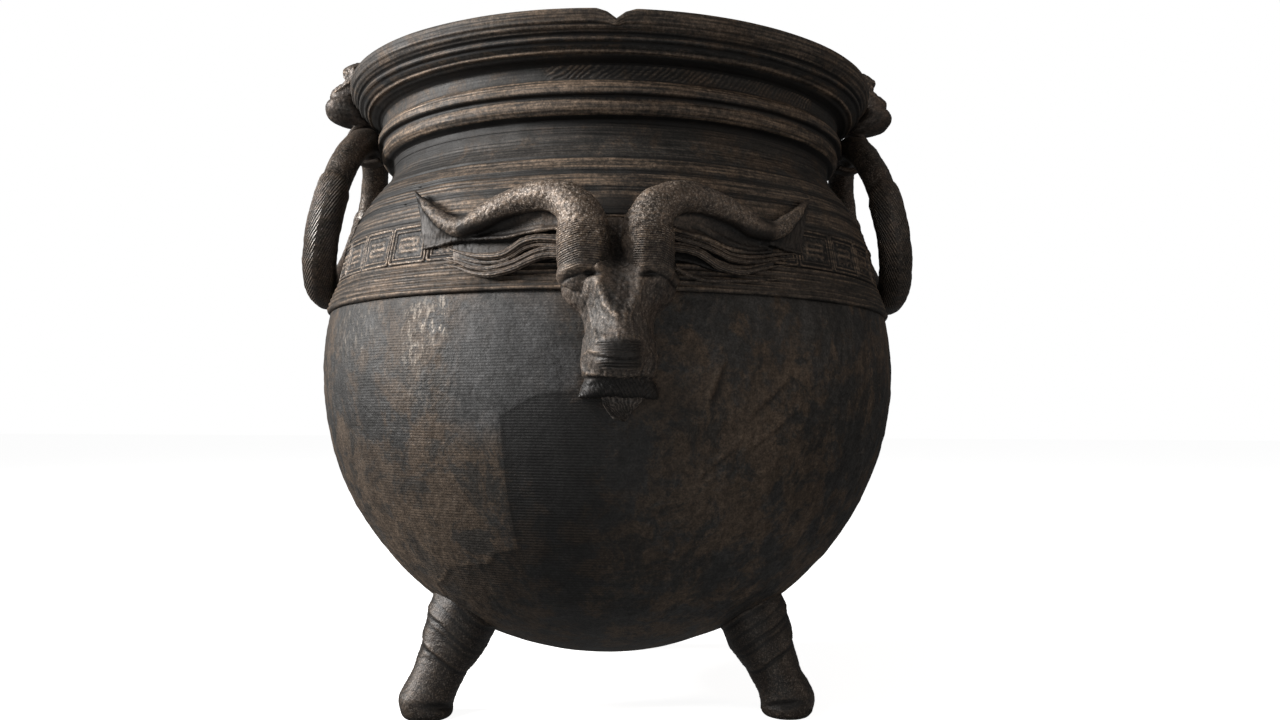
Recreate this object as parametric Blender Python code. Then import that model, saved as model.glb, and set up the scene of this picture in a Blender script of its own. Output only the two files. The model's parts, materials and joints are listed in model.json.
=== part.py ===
"""A cast bronze tripod cauldron with a ram's head in relief on its belly and two loose ring handles.

Metres, +Z up, the ram's head to -Y. Heights are measured from the ground and radii from the vessel's
axis. The origin is on the ground in the middle of the cauldron's box, so the axis, which every piece
is parented to, lies a little behind it by half of what the ram's muzzle stands proud of the belly.
"""

from math import asin, atan2, cos, degrees, hypot, pi, radians, sin, sqrt

import bmesh
import bpy
import numpy as np
from mathutils import Vector

# Bowl
BELLY_RADIUS = 0.2345
BOWL_DEPTH = 0.2281
BOWL_CLEARANCE = 0.0366
WALL = 0.0060
LINES_START = 0.0453

# Bands on the shoulder, counted upwards
LINES_HEIGHT = 0.0220
LINE_RELIEF = 0.0032
FRET_HEIGHT = 0.0305
FRET_LEAN = 0.0056
FRET_PANELS = 36
FRET_MARGIN = 0.0036
FRET_RELIEF = 0.0011
FRET_BORDER = 0.0040

# Neck and rim
SHOULDER_HEIGHT = 0.0605
NECK_RADIUS = 0.1843
NECK_HEIGHT = 0.0122
TORUS_HEIGHT = 0.0110
TORUS_RELIEF = 0.0082
COLLAR_HEIGHT = 0.0094
COLLAR_RADIUS = 0.1962
COVE_HEIGHT = 0.0159
COVE_RADIUS = 0.1922
LIP_RADIUS = 0.1970
LIP_HEIGHT = 0.0285
RIM_RADIUS = 0.2192
RIM_TOP_WIDTH = 0.0105
RIM_ROUND = 0.0022
NOTCH_WIDTH = 0.0270
NOTCH_DEPTH = 0.0042

# Ram's head
FACE_LENGTH = 0.1110
FACE_OFFSET = 0.0026
CHIN_DROP = 0.0707

# Legs
LEG_CIRCLE_RADIUS = 0.1600
LEG_THICKNESS = 0.0410
SOLE_RADIUS = 0.0172
LEG_HEIGHT = 0.1000

# Ring handles and the masks that hold them
RING_RADIUS = 0.0665
ROD_TOP_RADIUS = 0.0118
ROD_RADIUS = 0.0137
RING_SLACK = 0.0006
RING_HANG = 0.0103
EYE_CLEARANCE = 0.0026
EYE_THICKNESS = 0.0050
EYE_WIDTH = 0.0160
EYE_START_DEGREES = -125
EYE_END_DEGREES = 105
MASK_HEIGHT = 0.0520
MASK_WIDTH = 0.0450
MASK_REACH = 0.0255
MASK_RISE = 0.0285
MASK_TUCK = 0.0016

# Making
GAP = 0.0003
COLUMNS = 2 * FRET_PANELS
COARSE_RINGS = 4
TUCK = 0.0030

BRONZE_COLOUR = (0.055, 0.046, 0.040, 1)
WORN_BRONZE_COLOUR = (0.105, 0.075, 0.055, 1)

# Heights of the vessel's mouldings, each standing on the one below
EQUATOR_Z = BOWL_CLEARANCE + BOWL_DEPTH
LINES_Z = EQUATOR_Z + LINES_START
FRET_Z = LINES_Z + LINES_HEIGHT
SHOULDER_Z = FRET_Z + FRET_HEIGHT
NECK_Z = SHOULDER_Z + SHOULDER_HEIGHT
TORUS_Z = NECK_Z + NECK_HEIGHT
COLLAR_Z = TORUS_Z + TORUS_HEIGHT
COVE_Z = COLLAR_Z + COLLAR_HEIGHT
LIP_Z = COVE_Z + COVE_HEIGHT
RIM_Z = LIP_Z + LIP_HEIGHT

CHIN_Z = LINES_Z - CHIN_DROP
PIVOT_Z = LIP_Z - RING_HANG
MASK_TOP_Z = RIM_Z + MASK_RISE


def ellipse_radius(height, inset=0.0):
    """The bowl's radius at a height: an ellipse turned about the axis, drawn in by the inset."""
    share = (height - EQUATOR_Z) / (BOWL_DEPTH - inset)
    return (BELLY_RADIUS - inset) * sqrt(max(0.0, 1 - share * share))


def fret_radius(share):
    """The fret band's radius, from 0 at its lower edge to 1 at its upper one."""
    return ellipse_radius(FRET_Z) - share * FRET_LEAN


def rim_points():
    """The flaring rim from its flat top down to the lip under it: a ridged face, a flute and a bead."""
    reach = RIM_RADIUS - LIP_RADIUS
    face = [(1.00, 0.90), (0.93, 0.67), (0.62, 0.43), (0.66, 0.35), (0.52, 0.24), (0.0, 0.0)]
    edge = [(RIM_RADIUS - RIM_ROUND, RIM_Z)]
    return edge + [(LIP_RADIUS + out * reach, LIP_Z + up * LIP_HEIGHT) for out, up in face]


def neck_points():
    """Cove, flat collar, round torus and waist, between the lip and the shoulder."""
    torus_radius = NECK_RADIUS + TORUS_RELIEF
    return [
        (COVE_RADIUS, COVE_Z + 0.65 * COVE_HEIGHT),
        (COVE_RADIUS, COVE_Z + 0.10 * COVE_HEIGHT),
        (COLLAR_RADIUS, COVE_Z - 0.08 * COLLAR_HEIGHT),
        (COLLAR_RADIUS, COLLAR_Z + 0.12 * COLLAR_HEIGHT),
        (torus_radius - 0.3 * TORUS_RELIEF, COLLAR_Z),
        (torus_radius, TORUS_Z + 0.78 * TORUS_HEIGHT),
        (torus_radius - 0.2 * TORUS_RELIEF, TORUS_Z + 0.20 * TORUS_HEIGHT),
        (NECK_RADIUS, TORUS_Z - 0.10 * TORUS_HEIGHT),
        (NECK_RADIUS, NECK_Z),
    ]


def shoulder_points():
    """The round shoulder: it leaves the waist outwards and turns down into the fret band."""
    spread = fret_radius(1) - NECK_RADIUS
    turns = [(0.17, 0.82), (0.48, 0.60), (0.78, 0.33), (0.94, 0.09)]
    return [(NECK_RADIUS + out * spread, SHOULDER_Z + up * SHOULDER_HEIGHT) for out, up in turns]


def band_points():
    """The fret band between raised borders, then the raised lines that end the carved part."""
    border = FRET_BORDER
    points = [
        (fret_radius(1.05) + FRET_RELIEF, SHOULDER_Z),
        (fret_radius(1) + FRET_RELIEF, SHOULDER_Z - border / 2),
        (fret_radius(1), SHOULDER_Z - border / 2),
        (fret_radius(0), FRET_Z),
    ]
    for share in (0.95, 0.58, 0.46, 0.10):
        height = LINES_Z + share * LINES_HEIGHT
        points.append((ellipse_radius(height) + (1 - 0.75 * share) * LINE_RELIEF, height))
    return points


def bowl_points():
    """The plain bowl under the carved bands, as an arc of the ellipse down to its lowest point."""
    start = asin(LINES_START / BOWL_DEPTH)
    turns = np.linspace(start, -pi / 2, 10)
    return [(BELLY_RADIUS * cos(turn), EQUATOR_Z + BOWL_DEPTH * sin(turn)) for turn in turns]


def outer_profile():
    """Radius and height along the outer side, from the rim's top edge down to the bowl's lowest point."""
    points = rim_points() + neck_points() + shoulder_points() + band_points() + bowl_points()
    points[-1] = (0.0, BOWL_CLEARANCE)
    return points


def inner_profile():
    """Radius and height along the inner side, from the mouth down to its lowest point, one wall inside."""
    mouth = RIM_RADIUS - RIM_TOP_WIDTH
    throat = NECK_RADIUS - WALL
    lip = COVE_RADIUS - WALL
    shoulder = fret_radius(1) - NECK_RADIUS
    points = [
        (mouth, RIM_Z),
        (lip + 0.3 * (mouth - lip), LIP_Z + 0.15 * LIP_HEIGHT),
        (lip, COVE_Z + 0.3 * COVE_HEIGHT),
        (throat, TORUS_Z),
        (throat, NECK_Z - 0.25 * WALL),
        (throat + 0.30 * shoulder, SHOULDER_Z + 0.62 * SHOULDER_HEIGHT),
        (throat + 0.74 * shoulder, SHOULDER_Z + 0.18 * SHOULDER_HEIGHT),
    ]
    start = asin((FRET_Z - EQUATOR_Z) / (BOWL_DEPTH - WALL))
    for turn in np.linspace(start, -pi / 2, 8):
        points.append(((BELLY_RADIUS - WALL) * cos(turn), EQUATOR_Z + (BOWL_DEPTH - WALL) * sin(turn)))
    points[-1] = (0.0, BOWL_CLEARANCE + WALL)
    return points


def clearance_profile(points, distance):
    """The closed outer side, moved out along its normals, so that what meets the wall keeps a gap to it."""
    line = np.array([(0.0, points[0][1])] + points)
    along = np.gradient(line, axis=0)
    normal = np.stack([-along[:, 1], along[:, 0]], 1)
    normal /= np.linalg.norm(normal, axis=1)[:, None]
    moved = line + distance * normal
    moved[[0, -1], 0] = 0.0
    moved[:2, 1] = line[0, 1] + distance
    moved[-1, 1] = line[-1, 1] - distance
    return [tuple(point) for point in moved]


OUTER = outer_profile()


def wall_radius(height):
    """The outer wall's radius at a height from the waist down."""
    below = [point for point in OUTER if point[1] <= NECK_Z + 1e-9]
    return float(np.interp(height, [z for r, z in reversed(below)], [r for r, z in reversed(below)]))


def place(angle, height, reach):
    """A point at an angle from the front, in radians to the viewer's right, and a distance from the axis."""
    return Vector((reach * sin(angle), -reach * cos(angle), height))


def on_wall(across, height, proud):
    """A point on the wall: a length along it from the front, a height, and how far it stands proud."""
    radius = wall_radius(height)
    return place(across / radius, height, radius + proud)


def collection_for_helpers():
    helpers = bpy.data.collections.new("helpers")
    bpy.context.scene.collection.children.link(helpers)
    helpers.hide_render = True
    return helpers


def make_object(name, vertices, faces, axis, helpers=None):
    """A closed mesh object with its faces pointing out, hung on the vessel's axis."""
    mesh = bpy.data.meshes.new(name)
    mesh.from_pydata([tuple(point) for point in vertices], [], faces)
    shape = bmesh.new()
    shape.from_mesh(mesh)
    bmesh.ops.remove_doubles(shape, verts=shape.verts, dist=1e-6)
    bmesh.ops.recalc_face_normals(shape, faces=shape.faces)
    shape.to_mesh(mesh)
    shape.free()
    piece = bpy.data.objects.new(name, mesh)
    (helpers or bpy.context.scene.collection).objects.link(piece)
    piece.parent = axis
    if helpers:
        piece.hide_render = True
        piece.display_type = "WIRE"
    return piece


def turned(profile, columns):
    """Vertices and faces of a profile turned about the axis, with a number of columns for each of its rings.

    Where the number halves or doubles, each wide face takes two narrow edges; a ring on the axis is a point.
    """
    vertices = []
    rings = []
    for (radius, height), count in zip(profile, columns):
        count = count if radius > 0.0 else 1
        rings.append([len(vertices) + turn for turn in range(count)])
        vertices += [place(2 * pi * turn / count, height, radius) for turn in range(count)]
    faces = []
    for upper, lower in zip(rings, rings[1:]):
        wide = min(len(upper), len(lower))
        steps = wide if wide > 1 else max(len(upper), len(lower))
        for turn in range(steps):
            corners = []
            for ring, backwards in ((upper, True), (lower, False)):
                share = max(1, len(ring) // steps)
                arc = [ring[(share * turn + step) % len(ring)] for step in range(share + 1)]
                corners += arc[::-1] if backwards else arc
            faces.append(list(dict.fromkeys(corners)))
    return vertices, faces


def smooth_path(stations, count):
    """Points evenly along a smooth curve through the stations, which may hold a radius as a fourth number."""
    known = np.array([list(station) for station in stations], float)
    padded = np.vstack([2 * known[0] - known[1], known, 2 * known[-1] - known[-2]])
    reach = np.linspace(0, len(known) - 1, count)
    span = np.minimum(reach.astype(int), len(known) - 2)
    t = (reach - span)[:, None]
    before, start, end, after = (padded[span + shift] for shift in range(4))
    straight = 2 * start + (end - before) * t
    bend = (2 * before - 5 * start + 4 * end - after) * t**2
    twist = (3 * start - before - 3 * end + after) * t**3
    return (straight + bend + twist) / 2


def swept(centres, radii, sides, normals, closed=False):
    """A round rod along a path with its own radius at each point; the normals keep it from twisting."""
    centres = np.array([list(centre) for centre in centres], float)
    count = len(centres)
    if closed:
        along = np.roll(centres, -1, axis=0) - np.roll(centres, 1, axis=0)
    else:
        along = np.gradient(centres, axis=0)
    along /= np.linalg.norm(along, axis=1)[:, None]
    first = np.cross(along, normals)
    first /= np.linalg.norm(first, axis=1)[:, None]
    second = np.cross(along, first)
    turns = 2 * pi * (np.arange(sides) + 0.5) / sides
    around = np.cos(turns)[None, :, None] * first[:, None] + np.sin(turns)[None, :, None] * second[:, None]
    points = centres[:, None] + np.array(radii)[:, None, None] * around
    rings = [[step * sides + side for side in range(sides)] for step in range(count)]
    faces = side_faces(rings + rings[:1] if closed else rings)
    return [tuple(point) for point in points.reshape(-1, 3)], faces + ([] if closed else [rings[0], rings[-1]])


def side_faces(rings):
    """The quads between each ring of vertices and the next."""
    faces = []
    for here, there in zip(rings, rings[1:]):
        for side in range(len(here)):
            ahead = (side + 1) % len(here)
            faces.append([here[side], here[ahead], there[ahead], there[side]])
    return faces


def stacked(sections):
    """Vertices and faces of sections with the same number of points, closed by their first and last."""
    size = len(sections[0])
    rings = [[level * size + side for side in range(size)] for level in range(len(sections))]
    return [point for section in sections for point in section], side_faces(rings) + [rings[0], rings[-1]]


def boolean(piece, operation, other):
    """A Boolean modifier with one object, or with every object of a collection."""
    cut = piece.modifiers.new(operation.lower(), "BOOLEAN")
    cut.operation = operation
    cut.solver = "EXACT"
    if isinstance(other, bpy.types.Collection):
        cut.operand_type = "COLLECTION"
        cut.collection = other
    else:
        cut.object = other
    return cut


def metal(name, colour, roughness):
    material = bpy.data.materials.new(name)
    material.use_nodes = True
    shader = material.node_tree.nodes["Principled BSDF"]
    shader.inputs["Base Color"].default_value = colour
    shader.inputs["Metallic"].default_value = 0.85
    shader.inputs["Roughness"].default_value = roughness
    return material


def finish(piece, material, sharp_degrees):
    """Gives a piece its metal, and smooth shading broken at its sharp edges."""
    piece.data.materials.append(material)
    piece.data.shade_smooth()
    piece.data.set_sharp_from_angle(angle=radians(sharp_degrees))


def carve_frets(mesh):
    """Sinks a panel with a frame round it into each tile of the fret band; one tile is centred on the front.

    A tile is two columns wide.
    """
    shape = bmesh.new()
    shape.from_mesh(mesh)
    low, high = FRET_Z, SHOULDER_Z - FRET_BORDER / 2
    tiles = {}
    for face in shape.faces:
        heights = [vertex.co.z for vertex in face.verts]
        if abs(min(heights) - low) < 1e-6 and abs(max(heights) - high) < 1e-6:
            centre = face.calc_center_median()
            turn = atan2(centre.x, -centre.y) % (2 * pi)
            tile = round(turn * FRET_PANELS / (2 * pi)) % FRET_PANELS
            tiles.setdefault(tile, []).append(face)
    for panel in tiles.values():
        bmesh.ops.inset_region(shape, faces=panel, thickness=FRET_MARGIN, depth=-FRET_RELIEF)
    shape.to_mesh(mesh)
    shape.free()


def face_sections():
    """Sections of the ram's face from under the chin to the poll.

    Each holds a height above the chin, a half width and how far it stands proud, as shares of the face's
    length, then how square it is (1 is a ridge, 2 a round, 4 a box), how far the nose pad is raised and
    how deep the groove between the brows is.
    """
    return [
        (-0.020, 0.190, 0.20, 3.0, 0.000, 0.000),
        (0.015, 0.214, 0.26, 3.6, 0.000, 0.000),
        (0.090, 0.204, 0.28, 3.4, 0.000, 0.000),
        (0.112, 0.186, 0.25, 3.0, 0.000, 0.000),
        (0.132, 0.202, 0.31, 2.6, 0.030, 0.000),
        (0.230, 0.208, 0.34, 2.4, 0.060, 0.000),
        (0.320, 0.202, 0.34, 2.2, 0.035, 0.000),
        (0.400, 0.186, 0.33, 1.8, 0.000, 0.000),
        (0.500, 0.230, 0.32, 1.5, 0.000, 0.000),
        (0.580, 0.330, 0.31, 1.4, 0.000, 0.030),
        (0.700, 0.355, 0.30, 1.5, 0.000, 0.080),
        (0.820, 0.335, 0.25, 1.7, 0.000, 0.120),
        (0.910, 0.270, 0.14, 2.0, 0.000, 0.080),
    ]


def head_point(across, up, proud):
    """A point of the ram's head, from its place in shares of the face's length."""
    return on_wall(across * FACE_LENGTH, CHIN_Z + up * FACE_LENGTH, proud * FACE_LENGTH)


def make_face(axis, helpers):
    """The ram's face as stacked sections, tucked into the wall behind."""
    tuck = TUCK / FACE_LENGTH
    middle = FACE_OFFSET / FACE_LENGTH
    sections = []
    for up, half, proud, square, pad, groove in face_sections():
        section = []
        for share in (-1.0, -0.9, -0.64, -0.47, -0.32, 0.0, 0.32, 0.47, 0.64, 0.9, 1.0):
            rise = (1 - abs(share) ** square) ** (1 / square)
            raised = pad if abs(share) < 0.5 else 0.0
            sunk = groove if share == 0.0 else 0.0
            section.append(head_point(middle + share * half, up, rise * (proud + tuck) - tuck + raised - sunk))
        for share in (0.4, -0.4):
            section.append(head_point(middle + share * half, up, -tuck))
        sections.append(section)
    return make_object("ram_face", *stacked(sections), axis, helpers)


def make_strand(name, route, side, count, sides, axis, helpers):
    """A tapering rod along a route of the head: across, up, proud and thickness for each station."""
    mirrored = [(side * across, up, proud, radius) for across, up, proud, radius in route]
    path = smooth_path(mirrored, count)
    centres = np.array([list(head_point(*station[:3])) for station in path])
    outward = centres * (1, 1, 0)
    return make_object(name, *swept(centres, path[:, 3] * FACE_LENGTH, sides, outward), axis, helpers)


def make_horn(side, axis, helpers):
    """A horn: thick at the brow, over in an arch, down to a hollow and up again to its point."""
    route = [
        (0.190, 0.70, 0.070, 0.120),
        (0.178, 0.80, 0.155, 0.150),
        (0.165, 0.91, 0.205, 0.152),
        (0.172, 1.01, 0.230, 0.140),
        (0.215, 1.10, 0.235, 0.118),
        (0.295, 1.16, 0.220, 0.100),
        (0.395, 1.18, 0.195, 0.088),
        (0.520, 1.165, 0.160, 0.080),
        (0.665, 1.115, 0.125, 0.073),
        (0.810, 1.050, 0.100, 0.064),
        (0.950, 1.035, 0.085, 0.052),
        (1.110, 1.130, 0.070, 0.038),
        (1.335, 1.330, 0.065, 0.006),
    ]
    return make_strand("horn", route, side, 16, 8, axis, helpers)


def make_web(side, axis, helpers):
    """The sail that joins a horn's rising point to the wall."""
    outline = [(1.31, 1.30, 0.062), (0.90, 1.03, 0.072), (0.99, 0.92, 0.012), (1.27, 0.89, 0.010)]
    front = [head_point(side * across, up, proud) for across, up, proud in outline]
    back = [head_point(side * across, up, -TUCK / FACE_LENGTH) for across, up, proud in outline]
    return make_object("horn_web", *stacked([front, back]), axis, helpers)


def make_locks(side, axis, helpers):
    """Two wavy locks that run out under a horn, one above the other."""
    upper = [
        (0.280, 0.950, 0.100, 0.050),
        (0.500, 0.905, 0.065, 0.052),
        (0.680, 0.850, 0.040, 0.050),
        (0.830, 0.872, 0.022, 0.038),
        (1.010, 0.905, 0.008, 0.018),
    ]
    lower = [
        (0.280, 0.850, 0.100, 0.048),
        (0.480, 0.828, 0.065, 0.050),
        (0.660, 0.758, 0.040, 0.048),
        (0.870, 0.757, 0.022, 0.036),
        (1.100, 0.845, 0.006, 0.018),
    ]
    make_strand("upper_lock", upper, side, 8, 6, axis, helpers)
    make_strand("lower_lock", lower, side, 8, 6, axis, helpers)


def make_beard(axis, helpers):
    """A short pointed beard under the chin, curling a little to one side."""
    route = [
        (0.035, 0.030, 0.13, 0.120),
        (0.030, -0.040, 0.10, 0.100),
        (0.040, -0.105, 0.07, 0.070),
        (0.050, -0.170, 0.03, 0.030),
    ]
    return make_strand("beard", route, 1, 6, 8, axis, helpers)


def make_notch(axis, helpers):
    """The V notch in the rim over the ram's head, as a wedge to cut with."""
    half = NOTCH_WIDTH / 2
    above = NOTCH_DEPTH
    spread = half * (NOTCH_DEPTH + above) / NOTCH_DEPTH
    outline = [(0.0, RIM_Z - NOTCH_DEPTH), (spread, RIM_Z + above), (-spread, RIM_Z + above)]
    near, far = -(RIM_RADIUS + above), -(RIM_RADIUS - RIM_TOP_WIDTH - above)
    vertices = [(x, y, z) for y in (near, far) for x, z in outline]
    faces = [[0, 1, 2], [3, 4, 5], [0, 1, 4, 3], [1, 2, 5, 4], [2, 0, 3, 5]]
    return make_object("rim_notch", vertices, faces, axis, helpers)


def make_vessel(axis, helpers, material):
    """The bowl, neck and rim with the ram's head, cast in one and hollow."""
    inner = inner_profile()[::-1]
    fine = len(OUTER) - COARSE_RINGS
    columns = [COLUMNS // 2] * len(inner) + [COLUMNS] * fine + [COLUMNS // 2] * COARSE_RINGS
    body = make_object("cauldron_body", *turned(inner + OUTER, columns), axis)
    carve_frets(body.data)
    relief = bpy.data.collections.new("ram_relief")
    helpers.children.link(relief)
    relief.hide_render = True
    make_face(axis, relief)
    make_beard(axis, relief)
    for side in (-1, 1):
        make_horn(side, axis, relief)
        make_web(side, axis, relief)
        make_locks(side, axis, relief)
    for piece in relief.objects:
        boolean(body, "UNION", piece)
    boolean(body, "DIFFERENCE", make_notch(axis, helpers))
    finish(body, material, sharp_degrees=38)
    return body


def leg_sections():
    """Sections of a leg from the sole up: distance from the axis, height, radius and tilt in degrees."""
    thick = LEG_THICKNESS / 2
    foot = LEG_CIRCLE_RADIUS
    return [
        (foot - 0.0010, 0.0, SOLE_RADIUS, 0),
        (foot, 0.0045, thick * 0.98, 3),
        (foot + 0.0002, 0.0130, thick * 1.01, 10),
        (foot - 0.0080, 0.0290, thick * 0.95, 22),
        (foot - 0.0155, 0.0440, thick * 1.03, 26),
        (foot - 0.0180, 0.0490, thick * 1.16, 28),
        (foot - 0.0215, 0.0570, thick * 1.24, 30),
        (foot - 0.0225, 0.0590, thick * 1.19, 31),
        (foot - 0.0265, 0.0680, thick * 1.33, 32),
        (foot - 0.0275, 0.0700, thick * 1.28, 32),
        (foot - 0.0400, LEG_HEIGHT, thick * 1.40, 34),
    ]


def make_leg(name, angle, axis, cutter, material):
    """A splayed leg with soft folds over an ankle and a rounded hoof, cut off where it meets the bowl."""
    sides = 12
    sections = []
    for reach, height, radius, tilt in leg_sections():
        lean = radians(tilt)
        section = []
        for side in range(sides):
            turn = 2 * pi * (side + 0.5) / sides
            out, across = radius * cos(turn), radius * sin(turn)
            point = place(angle, height + out * sin(lean), reach + out * cos(lean))
            section.append(point + across * Vector((cos(angle), sin(angle), 0)))
        sections.append(section)
    leg = make_object(name, *stacked(sections), axis)
    boolean(leg, "DIFFERENCE", cutter)
    finish(leg, material, sharp_degrees=50)
    return leg


def pivot_radius():
    """Where a ring's top rod hangs: just clear of the collar and of the lip over it."""
    clear = ROD_TOP_RADIUS + RING_SLACK
    corners = [(COLLAR_RADIUS, COVE_Z), (COLLAR_RADIUS, COLLAR_Z), (LIP_RADIUS, LIP_Z)]
    reaches = [r + sqrt(max(0.0, clear**2 - (z - PIVOT_Z) ** 2)) for r, z in corners]
    return max(reaches)


def ring_rod(turn):
    """The rod's radius around a ring: thinner where it hangs in its eye, with a step to the thicker half."""
    share = (1 - cos(turn)) / 2
    thick = min(1.0, max(0.0, (share - 0.36) / 0.10))
    return ROD_TOP_RADIUS + thick * (ROD_RADIUS - ROD_TOP_RADIUS)


def ring_points(lean, count):
    """Centres and rod radii around the right-hand ring, which hangs from its pivot and leans outwards."""
    turns = 2 * pi * np.arange(count) / count
    down = RING_RADIUS * (1 - np.cos(turns))
    across = RING_RADIUS * np.sin(turns)
    centres = np.stack([pivot_radius() + down * sin(lean), across, PIVOT_Z - down * cos(lean)], 1)
    return centres, np.array([ring_rod(turn) for turn in turns])


def distance_to_wall(point):
    """How far a point is outside the outer profile."""
    radius, height = hypot(point[0], point[1]), point[2]
    line = np.array(OUTER)
    start, span = line[:-1], np.diff(line, axis=0)
    length = (span**2).sum(1)
    share = np.clip(((np.array([radius, height]) - start) * span).sum(1) / length, 0, 1)
    nearest = start + share[:, None] * span
    return float(np.hypot(radius - nearest[:, 0], height - nearest[:, 1]).min())


def rest_lean():
    """The angle at which a hanging ring comes to rest against the belly, found by halving the range."""
    low, high = 0.0, radians(60)
    for step in range(24):
        lean = (low + high) / 2
        centres, rods = ring_points(lean, 48)
        touching = [
            distance_to_wall(centre) < rod + 2 * GAP
            for centre, rod in zip(centres, rods)
            if centre[2] < PIVOT_Z - RING_RADIUS / 2
        ]
        low, high = (lean, high) if any(touching) else (low, lean)
    return high


def make_ring(name, side, axis, lean, material):
    """A ring handle, with its origin on the hinge line in its eye."""
    centres, rods = ring_points(lean, 22)
    pivot = Vector((side * pivot_radius(), 0, PIVOT_Z))
    centres[:, 0] *= side
    plane = np.tile((side * cos(lean), 0.0, sin(lean)), (len(centres), 1))
    ring = make_object(name, *swept(centres - np.array(pivot), rods, 8, plane, closed=True), axis)
    ring.location = pivot
    finish(ring, material, sharp_degrees=60)
    return ring


def mask_sections():
    """Sections of an animal mask from under its jaw to its crest.

    Each holds a height, how far it reaches beyond the rim, as shares of the mask's height and reach, and
    its half width as a share of the mask's: jaw, lip, nose, brow and crest.
    """
    return [
        (0.00, 0.45, 0.45),
        (0.08, 0.80, 0.72),
        (0.25, 1.00, 0.90),
        (0.37, 0.90, 0.93),
        (0.41, 0.78, 0.80),
        (0.52, 0.86, 0.86),
        (0.60, 0.60, 0.92),
        (0.70, 0.36, 1.00),
        (0.84, 0.30, 0.96),
        (1.00, 0.10, 0.66),
    ]


def make_lug(name, side, axis, cutter, helpers, material):
    """An animal mask that grips the rim, cast with the eye that carries a ring under its jaw."""
    sides = 10
    back = min(pivot_radius(), RIM_RADIUS - RIM_TOP_WIDTH) - MASK_TUCK
    sections = []
    for up, out, half in mask_sections():
        height = MASK_TOP_Z - (1 - up) * MASK_HEIGHT
        front = RIM_RADIUS + out * MASK_REACH
        middle, depth = (front + back) / 2, (front - back) / 2
        section = []
        for step in range(sides):
            turn = 2 * pi * (step + 0.5) / sides
            bulge = abs(cos(turn)) ** 0.7 * (1 if cos(turn) > 0 else -1)
            section.append((side * (middle + depth * bulge), half * MASK_WIDTH / 2 * sin(turn), height))
        sections.append(section)
    lug = make_object(name, *stacked(sections), axis)
    boolean(lug, "UNION", make_eye(side, axis, helpers))
    boolean(lug, "DIFFERENCE", cutter).use_self = True
    finish(lug, material, sharp_degrees=45)
    return lug


def make_eye(side, axis, helpers):
    """The eye under a mask: a flat band bent round the outer side of the ring's top rod."""
    inner = ROD_TOP_RADIUS + EYE_CLEARANCE
    outer = inner + EYE_THICKNESS
    sections = []
    for turn in np.radians(np.linspace(EYE_START_DEGREES, EYE_END_DEGREES, 11)):
        corners = []
        for radius, across in ((inner, -1), (outer, -1), (outer, 1), (inner, 1)):
            x = side * (pivot_radius() + radius * cos(turn))
            corners.append((x, across * EYE_WIDTH / 2, PIVOT_Z + radius * sin(turn)))
        sections.append(corners)
    return make_object("ring_eye", *stacked(sections), axis, helpers)


def main():
    for old in list(bpy.data.objects):
        bpy.data.objects.remove(old, do_unlink=True)
    axis = bpy.data.objects.new("vessel_axis", None)
    bpy.context.scene.collection.objects.link(axis)
    front_reach = max(
        wall_radius(CHIN_Z + up * FACE_LENGTH) + (proud + pad - groove) * FACE_LENGTH
        for up, half, proud, square, pad, groove in face_sections()
    )
    axis.location = (0, (front_reach - BELLY_RADIUS) / 2, 0)
    helpers = collection_for_helpers()
    bronze = metal("dark_bronze", BRONZE_COLOUR, 0.55)
    worn = metal("worn_bronze", WORN_BRONZE_COLOUR, 0.45)
    make_vessel(axis, helpers, bronze)
    kept_clear = clearance_profile(OUTER, GAP)
    columns = [COLUMNS] * (len(kept_clear) - COARSE_RINGS) + [COLUMNS // 2] * COARSE_RINGS
    clearance = make_object("wall_clearance", *turned(kept_clear, columns), axis, helpers)
    for name, angle in (("front_left_leg", -60), ("front_right_leg", 60), ("back_leg", 180)):
        make_leg(name, radians(angle), axis, clearance, worn)
    lean = rest_lean()
    for name, side in (("left", -1), ("right", 1)):
        make_lug(name + "_lug", side, axis, clearance, helpers, worn)
        make_ring(name + "_ring_handle", side, axis, lean, worn)
    print(f"axis {axis.location.y:.5f} m, pivot {pivot_radius():.5f} {PIVOT_Z:.5f} m, lean {degrees(lean):.2f} degrees")


main()
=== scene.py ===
# %% [markdown]
# # A bronze cauldron on three legs
# The real vessel is cast bronze that has gone nearly black, with brown earth tones in its hollows and tan
# metal where it is worn. It is a round pot under a banded neck, with a flaring rim, a ram's head in relief,
# a band of square frets, three legs and two loose ring handles held by masks on the rim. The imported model
# gives every piece's size and place, and this script builds the fine surface over it.

import json

import bmesh
import bpy
import numpy as np
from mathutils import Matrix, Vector


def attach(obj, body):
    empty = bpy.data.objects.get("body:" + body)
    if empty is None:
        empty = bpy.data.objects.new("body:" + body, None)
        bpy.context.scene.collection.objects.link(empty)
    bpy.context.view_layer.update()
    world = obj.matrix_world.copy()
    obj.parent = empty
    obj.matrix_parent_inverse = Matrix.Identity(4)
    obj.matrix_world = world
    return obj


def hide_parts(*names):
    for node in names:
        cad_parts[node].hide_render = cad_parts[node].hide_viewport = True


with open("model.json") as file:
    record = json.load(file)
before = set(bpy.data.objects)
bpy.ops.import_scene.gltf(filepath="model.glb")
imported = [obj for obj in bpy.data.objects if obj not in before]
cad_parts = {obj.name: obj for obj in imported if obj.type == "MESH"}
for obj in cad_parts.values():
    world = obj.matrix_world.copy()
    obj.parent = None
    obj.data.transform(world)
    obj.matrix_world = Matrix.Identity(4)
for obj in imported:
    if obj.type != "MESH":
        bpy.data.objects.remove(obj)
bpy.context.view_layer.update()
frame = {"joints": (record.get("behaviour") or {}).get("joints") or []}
hinge = {joint["child"]: joint["pos_m"] for joint in frame["joints"]}
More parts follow.
